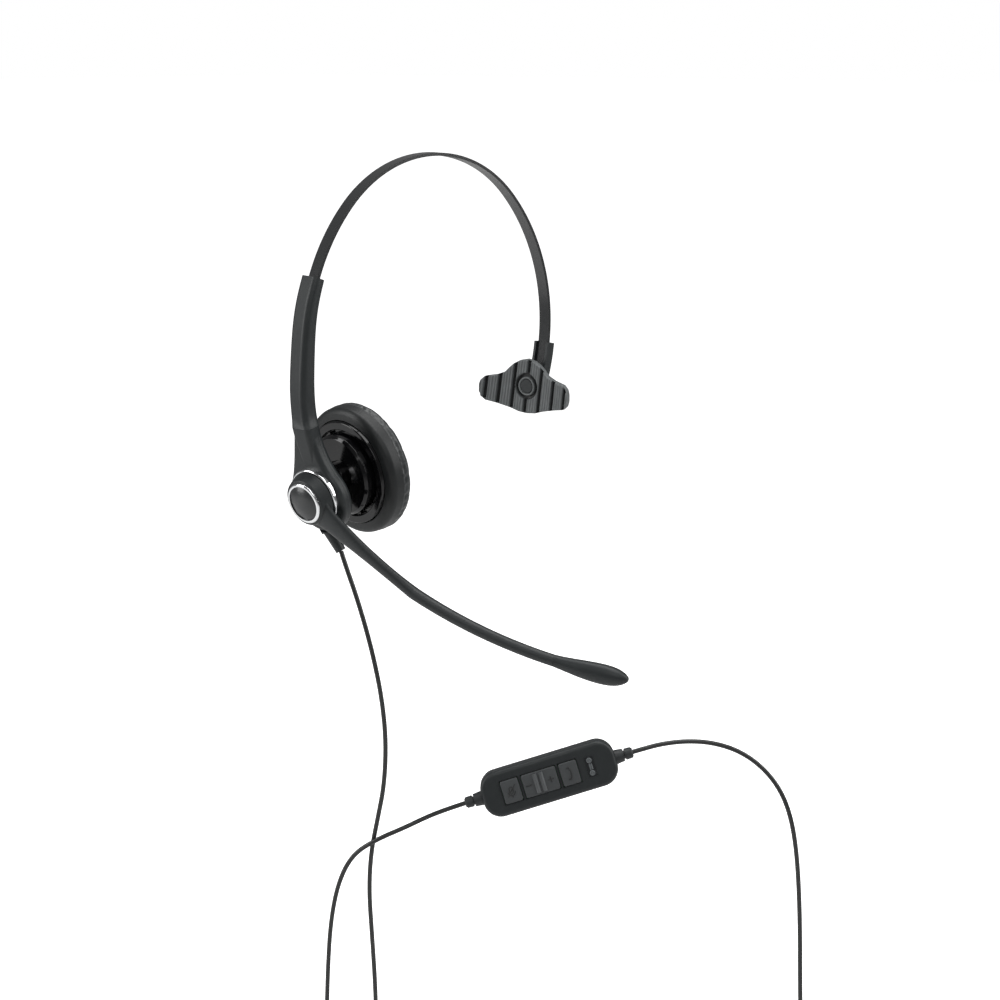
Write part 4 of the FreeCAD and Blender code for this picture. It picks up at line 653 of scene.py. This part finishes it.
# %% Domed cloth
CLOTH_RADIUS, CLOTH_AROUND = 18.0, 96
dome = [(-7.1, 0.02)] + [(-7.1, CLOTH_RADIUS * k / 5) for k in range(1, 5)]
dome += [(-7.1, CLOTH_RADIUS - 0.3), (-6.95, CLOTH_RADIUS)]
dome += [(-6.62 + 0.42 * (1 - (k / 14) ** 2), max(0.02, (CLOTH_RADIUS - 0.3) * k / 14))
         for k in range(14, -1, -1)]
last_ring = (len(dome) - 1) * CLOTH_AROUND
dome_ends = [tuple(range(CLOTH_AROUND)), tuple(range(last_ring, last_ring + CLOTH_AROUND))]
speaker_cloth = mesh_piece("domed_speaker_cloth", turned_points(dome, CLOTH_AROUND, CUP),
                           ring_faces(len(dome), CLOTH_AROUND, False) + dome_ends,
                           SPEAKER_CLOTH)
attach(speaker_cloth, "ear_cup")
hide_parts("speaker_cloth")

# %% [markdown]
# ## The temple pad
# The T-shaped pad is one rubber moulding, bent round the head. Its inner face has broad ribs
# between deep grooves, with fine combed lines on the ribs, and a boss with a moat round it
# takes the pin. It is built column by column along its length: each column is a closed loop
# over the ribbed face and back along the plain one, so the outline, the bend and the ribs are
# three separate rules.

# %% The pad's outline and relief
TEMPLE = (Matrix.Rotation(math.radians(-10.1), 4, "Z") @ Matrix.Translation((97.6, -4.4, 26.1))
          @ Matrix.Rotation(math.radians(14), 4, "Z"))
PAD_BEND, PAD_THICK, PAD_END = 82.0, 4.0, 27.0
PAD_TOP = [(0, 14.0), (4.2, 13.1), (8.06, 11.0), (10.8, 8.6), (13.0, 6.4), (17.5, 4.6),
           (23.8, 3.4), (25.9, 1.6), (26.8, -0.8), (27.0, -2.9)]
PAD_BOTTOM = [(0, -14.2), (5.0, -13.7), (9.75, -12.2), (17.5, -10.4), (23.8, -9.2), (25.9, -7.4),
              (26.8, -5.0), (27.0, -2.9)]
PAD_GROOVES = (-25.2, -17.0, -8.4, -0.2, 7.85, 15.9, 23.1)
GROOVE_SLANT, GROOVE_HALF, GROOVE_DEPTH = 0.13, 1.05, 2.2
COMB_PITCH, COMB_DEPTH = 1.55, 0.35
BOSS_RECESS, BOSS_RING, BOSS_MOAT = 3.85, 4.9, 6.7
RECESS_DEPTH, MOAT_DEPTH = 1.45, 2.2


def bevelled(value, edge, soft):
    """0 below an edge, 1 above it, with a soft step between."""
    return min(max((value - edge) / soft + 0.5, 0.0), 1.0)


def pad_relief(along, up):
    """How far the inner face is sunk at a point."""
    from_boss = math.hypot(along, up)
    if from_boss < BOSS_MOAT + 0.2:
        recess = RECESS_DEPTH * (1 - bevelled(from_boss, BOSS_RECESS, 0.25))
        in_moat = bevelled(from_boss, BOSS_RING, 0.3)
        in_moat *= 1 - bevelled(from_boss, BOSS_MOAT, 0.3)
        return recess + MOAT_DEPTH * in_moat
    across = along + GROOVE_SLANT * up
    sunk = COMB_DEPTH * (0.5 - 0.5 * math.cos(2 * math.pi * across / COMB_PITCH)) ** 2
    for groove in PAD_GROOVES:
        sunk = max(sunk, GROOVE_DEPTH * (1 - bevelled(abs(across - groove), GROOVE_HALF, 0.4)))
    return sunk


# %% [markdown]
# Light hardly reaches the bottom of the pad's grooves, so they are given painted shade, nearly
# black. The
# depth below the ribs is stored on the mesh as an attribute and darkens the rubber there.

# %% The pad's rubber
PAD_FINISH = moulded("ribbed_pad_rubber", (0.112, 0.120, 0.122), 0.48, 0.25, 0.15,
                     grain=3200.0, bump=0.5)
pad_tree = PAD_FINISH.node_tree
pad_shader = pad_tree.nodes["Principled BSDF"]
# Painted shade: the rubber is blended towards near black at the groove bottoms.
sunk = pad_tree.nodes.new("ShaderNodeAttribute")
sunk.attribute_name = "sunk"
skin_colour = pad_shader.inputs["Base Color"].links[0].from_socket
pad_tree.links.new(blend_colours(pad_tree, sunk.outputs["Fac"], skin_colour,
                                 (0.004, 0.005, 0.005, 1)), pad_shader.inputs["Base Color"])

# %% Build the pad
PAD_COLUMNS, PAD_ROWS, BACK_ROWS, PAD_EDGE = 420, 96, 14, 0.9
PAD_LOOP = PAD_ROWS + BACK_ROWS
PAD_LEAST = 0.4
END_CROWDING = 0.25
pad_points, pad_faces = [], []
for column in range(PAD_COLUMNS + 1):
    along = -PAD_END * math.cos(math.pi * column / PAD_COLUMNS)
    flat = PAD_END * (2 * column / PAD_COLUMNS - 1)
    along = END_CROWDING * along + (1 - END_CROWDING) * flat
    top = float(np.interp(abs(along), *zip(*PAD_TOP)))
    bottom = float(np.interp(abs(along), *zip(*PAD_BOTTOM)))
    past_edge = max(0.0, (abs(along) - PAD_END + PAD_EDGE) / PAD_EDGE)
    end_round = math.sqrt(max(0.0, 1 - past_edge ** 2))
    for row in range(PAD_LOOP):
        front = row < PAD_ROWS
        share = row / (PAD_ROWS - 1) if front else 1 - (row - PAD_ROWS) / (BACK_ROWS - 1)
        crowd = 1 - 0.45 * math.sin(math.pi * share) ** 2
        share = 0.5 - 0.5 * math.cos(math.pi * share) * crowd
        up = bottom + (top - bottom) * share
        edge = min(up - bottom, top - up)
        curl = PAD_EDGE * (1 - math.sqrt(max(0.0, 1 - max(0.0, 1 - edge / PAD_EDGE) ** 2)))
        curl = max(curl, PAD_EDGE * (1 - end_round))
        if front:
            depth = curl + (pad_relief(along, up) if edge > 0.02 else 0)
        else:
            depth = PAD_THICK - curl
        reach = PAD_BEND + min(depth, PAD_THICK - PAD_LEAST)
        place = Vector((-PAD_BEND + math.sqrt(reach ** 2 - along ** 2), along, up))
        pad_points.append(TEMPLE @ place)
    if column:
        low, high = (column - 1) * PAD_LOOP, column * PAD_LOOP
        for k in range(PAD_LOOP):
            after = (k + 1) % PAD_LOOP
            pad_faces.append((low + k, low + after, high + after, high + k))
last_loop = PAD_COLUMNS * PAD_LOOP
pad_faces += [tuple(range(PAD_LOOP)), tuple(range(last_loop, last_loop + PAD_LOOP))]
temple_pad = mesh_piece("ribbed_temple_pad", pad_points, pad_faces, PAD_FINISH)
# Painted shade: how deep each point lies in a groove is stored as "sunk" and darkens it.
groove_shade_layer = temple_pad.data.attributes.new("sunk", "FLOAT", "POINT")
out_of_pad = TEMPLE.inverted()
for index, vertex in enumerate(temple_pad.data.vertices):
    along_x, along, up = out_of_pad @ (vertex.co * 1000)
    face_depth = math.hypot(along_x + PAD_BEND, along) - PAD_BEND
    groove_shade = min(max((face_depth - 0.9) / 0.9, 0.0), 1.0)
    groove_shade_layer.data[index].value = groove_shade if face_depth < 2.6 else 0.0
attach(temple_pad, "temple_pad")
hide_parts("temple_pad")
print("temple pad:", len(temple_pad.data.polygons), "faces")

# %% [markdown]
# ## Marks on the key pad
# The keys carry plain marks that any such key pad has: a muted microphone, minus, plus and a
# handset. They are thin raised lines, made as bevelled curves in the key pad's own frame and
# turned into meshes, so that each one moves with its key.

# %% Raised marks
CONTROL = (Matrix.Translation((31.2, -86.2, -149.5))
           @ Matrix.Rotation(math.radians(-51.3), 4, "Z")
           @ Matrix.Rotation(math.radians(75.3), 4, "X")
           @ Matrix.Rotation(math.radians(17), 4, "Z"))
KEY_TOP, WINDOW_TOP = 6.2, 5.55


def arc(centre, radius, start, end, count=12):
    """Points along an arc, with its angles in degrees."""
    return [(centre[0] + radius * math.cos(math.radians(start + (end - start) * k / count)),
             centre[1] + radius * math.sin(math.radians(start + (end - start) * k / count)))
            for k in range(count + 1)]


def raised_mark(name, body, lines, width, level, finish):
    """Thin rounded lines on the key pad, from lists of (along, up) points."""
    curve = bpy.data.curves.new(name, "CURVE")
    curve.dimensions = "3D"
    curve.bevel_depth = width / 2000
    curve.bevel_resolution = 2
    curve.use_fill_caps = True
    for line in lines:
        spline = curve.splines.new("POLY")
        spline.points.add(len(line) - 1)
        for spot, (along, up) in zip(spline.points, line):
            place = CONTROL @ Vector((along, up, level))
            spot.co = (*(place / 1000), 1)
    drawn = bpy.data.objects.new(name + "_lines", curve)
    bpy.context.collection.objects.link(drawn)
    mesh = bpy.data.meshes.new_from_object(drawn)
    bpy.data.objects.remove(drawn)
    mesh.materials.clear()
    mesh.materials.append(finish)
    mark = bpy.data.objects.new(name, mesh)
    bpy.context.collection.objects.link(mark)
    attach(mark, body)


INK = moulded("mark_ink", (0.012, 0.013, 0.013), 0.5, bump=0.1)
RIDGE = moulded("key_ridge_rubber", (0.075, 0.080, 0.083), 0.38, bump=0.2)
ICON = moulded("status_icon_grey", (0.10, 0.11, 0.115), 0.35, bump=0.05)
mute, call, minus, plus, window = -19.1, 10.3, -10.3, 0.9, 20.9
raised_mark("mute_mark", "mute_key", [
    arc((mute, 1.1), 0.9, 0, 180), [(mute - 0.9, 1.1), (mute - 0.9, -0.4)],
    [(mute + 0.9, 1.1), (mute + 0.9, -0.4)], arc((mute, -0.4), 0.9, 180, 360),
    arc((mute, -0.4), 1.8, 180, 360), [(mute, -2.2), (mute, -3.2)],
    [(mute - 2.4, -2.6), (mute + 2.4, 2.8)]], 0.5, KEY_TOP, INK)
raised_mark("volume_marks", "volume_rocker", [
    [(minus - 1.5, 0), (minus + 1.5, 0)], [(plus - 1.5, 0), (plus + 1.5, 0)],
    [(plus, -1.5), (plus, 1.5)]], 0.6, KEY_TOP, INK)
raised_mark("rocker_ridges", "volume_rocker", [
    [(centre, -4.7), (centre, 4.7)] for centre in (-6.4, -3.3)], 2.2, KEY_TOP - 0.15,
    RIDGE)
handset = [(call + 1.7 * math.cos(t) - 1.0, 3.4 * math.sin(t)) for t in
           [math.radians(-62 + 124 * k / 14) for k in range(15)]]
raised_mark("call_mark", "call_key", [
    handset, [handset[0], (handset[0][0] - 0.9, handset[0][1] + 0.5)],
    [handset[-1], (handset[-1][0] - 0.9, handset[-1][1] - 0.5)]], 0.75, KEY_TOP, INK)
raised_mark("status_icons", "arm", [
    arc((window, up), 0.95, 0, 360, 20) for up in (-3.1, 3.1)]
    + [[(window, up - 1.2), (window, up + 1.2)] for up in (-3.1, 3.1)]
    + [[(window - 0.3, -1.4), (window - 0.3, 1.4)], [(window + 0.5, -1.4), (window + 0.5, 1.4)]],
    0.85, WINDOW_TOP, ICON)
print("key marks done")

# %% [markdown]
# ## Grip ribs on the plug
# A plug is pulled by its sides, so its moulding has a row of small ribs there. What repeats at
# an even pitch is a job for Geometry Nodes: one rounded bar, a line of points, and the bar
# placed on every point, once for each side.

# %% A Geometry Nodes tree: a double row of ribs
ribs = bpy.data.node_groups.new("grip_ribs", "GeometryNodeTree")
for label, kind in (("Geometry", "NodeSocketGeometry"), ("Count", "NodeSocketInt"),
                    ("Pitch", "NodeSocketFloat"), ("Rib Length", "NodeSocketFloat"),
                    ("Rib Radius", "NodeSocketFloat"), ("Half Thickness", "NodeSocketFloat"),
                    ("Finish", "NodeSocketMaterial")):
    ribs.interface.new_socket(label, in_out="INPUT", socket_type=kind)
ribs.interface.new_socket("Geometry", in_out="OUTPUT", socket_type="NodeSocketGeometry")
sizes_in, shape_out = ribs.nodes.new("NodeGroupInput"), ribs.nodes.new("NodeGroupOutput")
half_length = math_node(ribs, "MULTIPLY", sizes_in.outputs["Rib Length"], 0.5)
bar_line = ribs.nodes.new("GeometryNodeCurvePrimitiveLine")
for end, sign in (("Start", -1.0), ("End", 1.0)):
    corner = ribs.nodes.new("ShaderNodeCombineXYZ")
    ribs.links.new(math_node(ribs, "MULTIPLY", half_length, sign), corner.inputs["Y"])
    ribs.links.new(corner.outputs[0], bar_line.inputs[end])
bar_round = ribs.nodes.new("GeometryNodeCurvePrimitiveCircle")
bar_round.inputs["Resolution"].default_value = 14
ribs.links.new(sizes_in.outputs["Rib Radius"], bar_round.inputs["Radius"])
bar = ribs.nodes.new("GeometryNodeCurveToMesh")
bar.inputs["Fill Caps"].default_value = True
ribs.links.new(bar_line.outputs["Curve"], bar.inputs["Curve"])
ribs.links.new(bar_round.outputs["Curve"], bar.inputs["Profile Curve"])
both_sides = ribs.nodes.new("GeometryNodeJoinGeometry")
for sign in (-1.0, 1.0):
    start, step = (ribs.nodes.new("ShaderNodeCombineXYZ") for _ in range(2))
    ribs.links.new(math_node(ribs, "MULTIPLY", sizes_in.outputs["Half Thickness"], sign),
                   start.inputs["Z"])
    ribs.links.new(sizes_in.outputs["Pitch"], step.inputs["X"])
    row = ribs.nodes.new("GeometryNodeMeshLine")
    ribs.links.new(sizes_in.outputs["Count"], row.inputs["Count"])
    ribs.links.new(start.outputs[0], row.inputs["Start Location"])
    ribs.links.new(step.outputs[0], row.inputs["Offset"])
    placed = ribs.nodes.new("GeometryNodeInstanceOnPoints")
    ribs.links.new(row.outputs["Mesh"], placed.inputs["Points"])
    ribs.links.new(bar.outputs["Mesh"], placed.inputs["Instance"])
    ribs.links.new(placed.outputs["Instances"], both_sides.inputs["Geometry"])
real = ribs.nodes.new("GeometryNodeRealizeInstances")
painted = ribs.nodes.new("GeometryNodeSetMaterial")
ribs.links.new(both_sides.outputs["Geometry"], real.inputs["Geometry"])
ribs.links.new(real.outputs["Geometry"], painted.inputs["Geometry"])
ribs.links.new(sizes_in.outputs["Finish"], painted.inputs["Material"])
ribs.links.new(painted.outputs["Geometry"], shape_out.inputs["Geometry"])

# %% Put the ribs on the plug
FIRST_RIB = 0.0171
PLUG_BODY = (Matrix.Translation(Vector(COIL_TO_PLUG[-1]) / 1000)
             @ Matrix.Rotation(math.radians(-51.3), 4, "Z")
             @ Matrix.Rotation(math.radians(90), 4, "Y") @ Matrix.Translation((FIRST_RIB, 0, 0)))
rib_slot = slots["plug_overmould"]
blank = bpy.data.objects.new("grip_rib_blank", bpy.data.meshes.new("grip_rib_blank"))
bpy.context.collection.objects.link(blank)
rib_rows = blank.modifiers.new("ribs", "NODES")
rib_rows.node_group = ribs
rib_sizes = {"Count": 7, "Pitch": 0.0021, "Rib Length": 0.0105, "Rib Radius": 0.0005,
             "Half Thickness": 0.0038, "Finish": FINISH[rib_slot]}
for socket in ribs.interface.items_tree:
    if socket.in_out == "INPUT" and socket.name in rib_sizes:
        rib_rows[socket.identifier] = rib_sizes[socket.name]
made = bpy.data.meshes.new_from_object(
    blank.evaluated_get(bpy.context.evaluated_depsgraph_get()))
bpy.data.objects.remove(blank)
made.transform(PLUG_BODY)
made.materials.clear()
made.materials.append(FINISH[rib_slot])
grip_ribs = bpy.data.objects.new("plug_grip_ribs", made)
bpy.context.collection.objects.link(grip_ribs)
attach(grip_ribs, "arm")
print("grip ribs:", len(made.polygons), "faces")
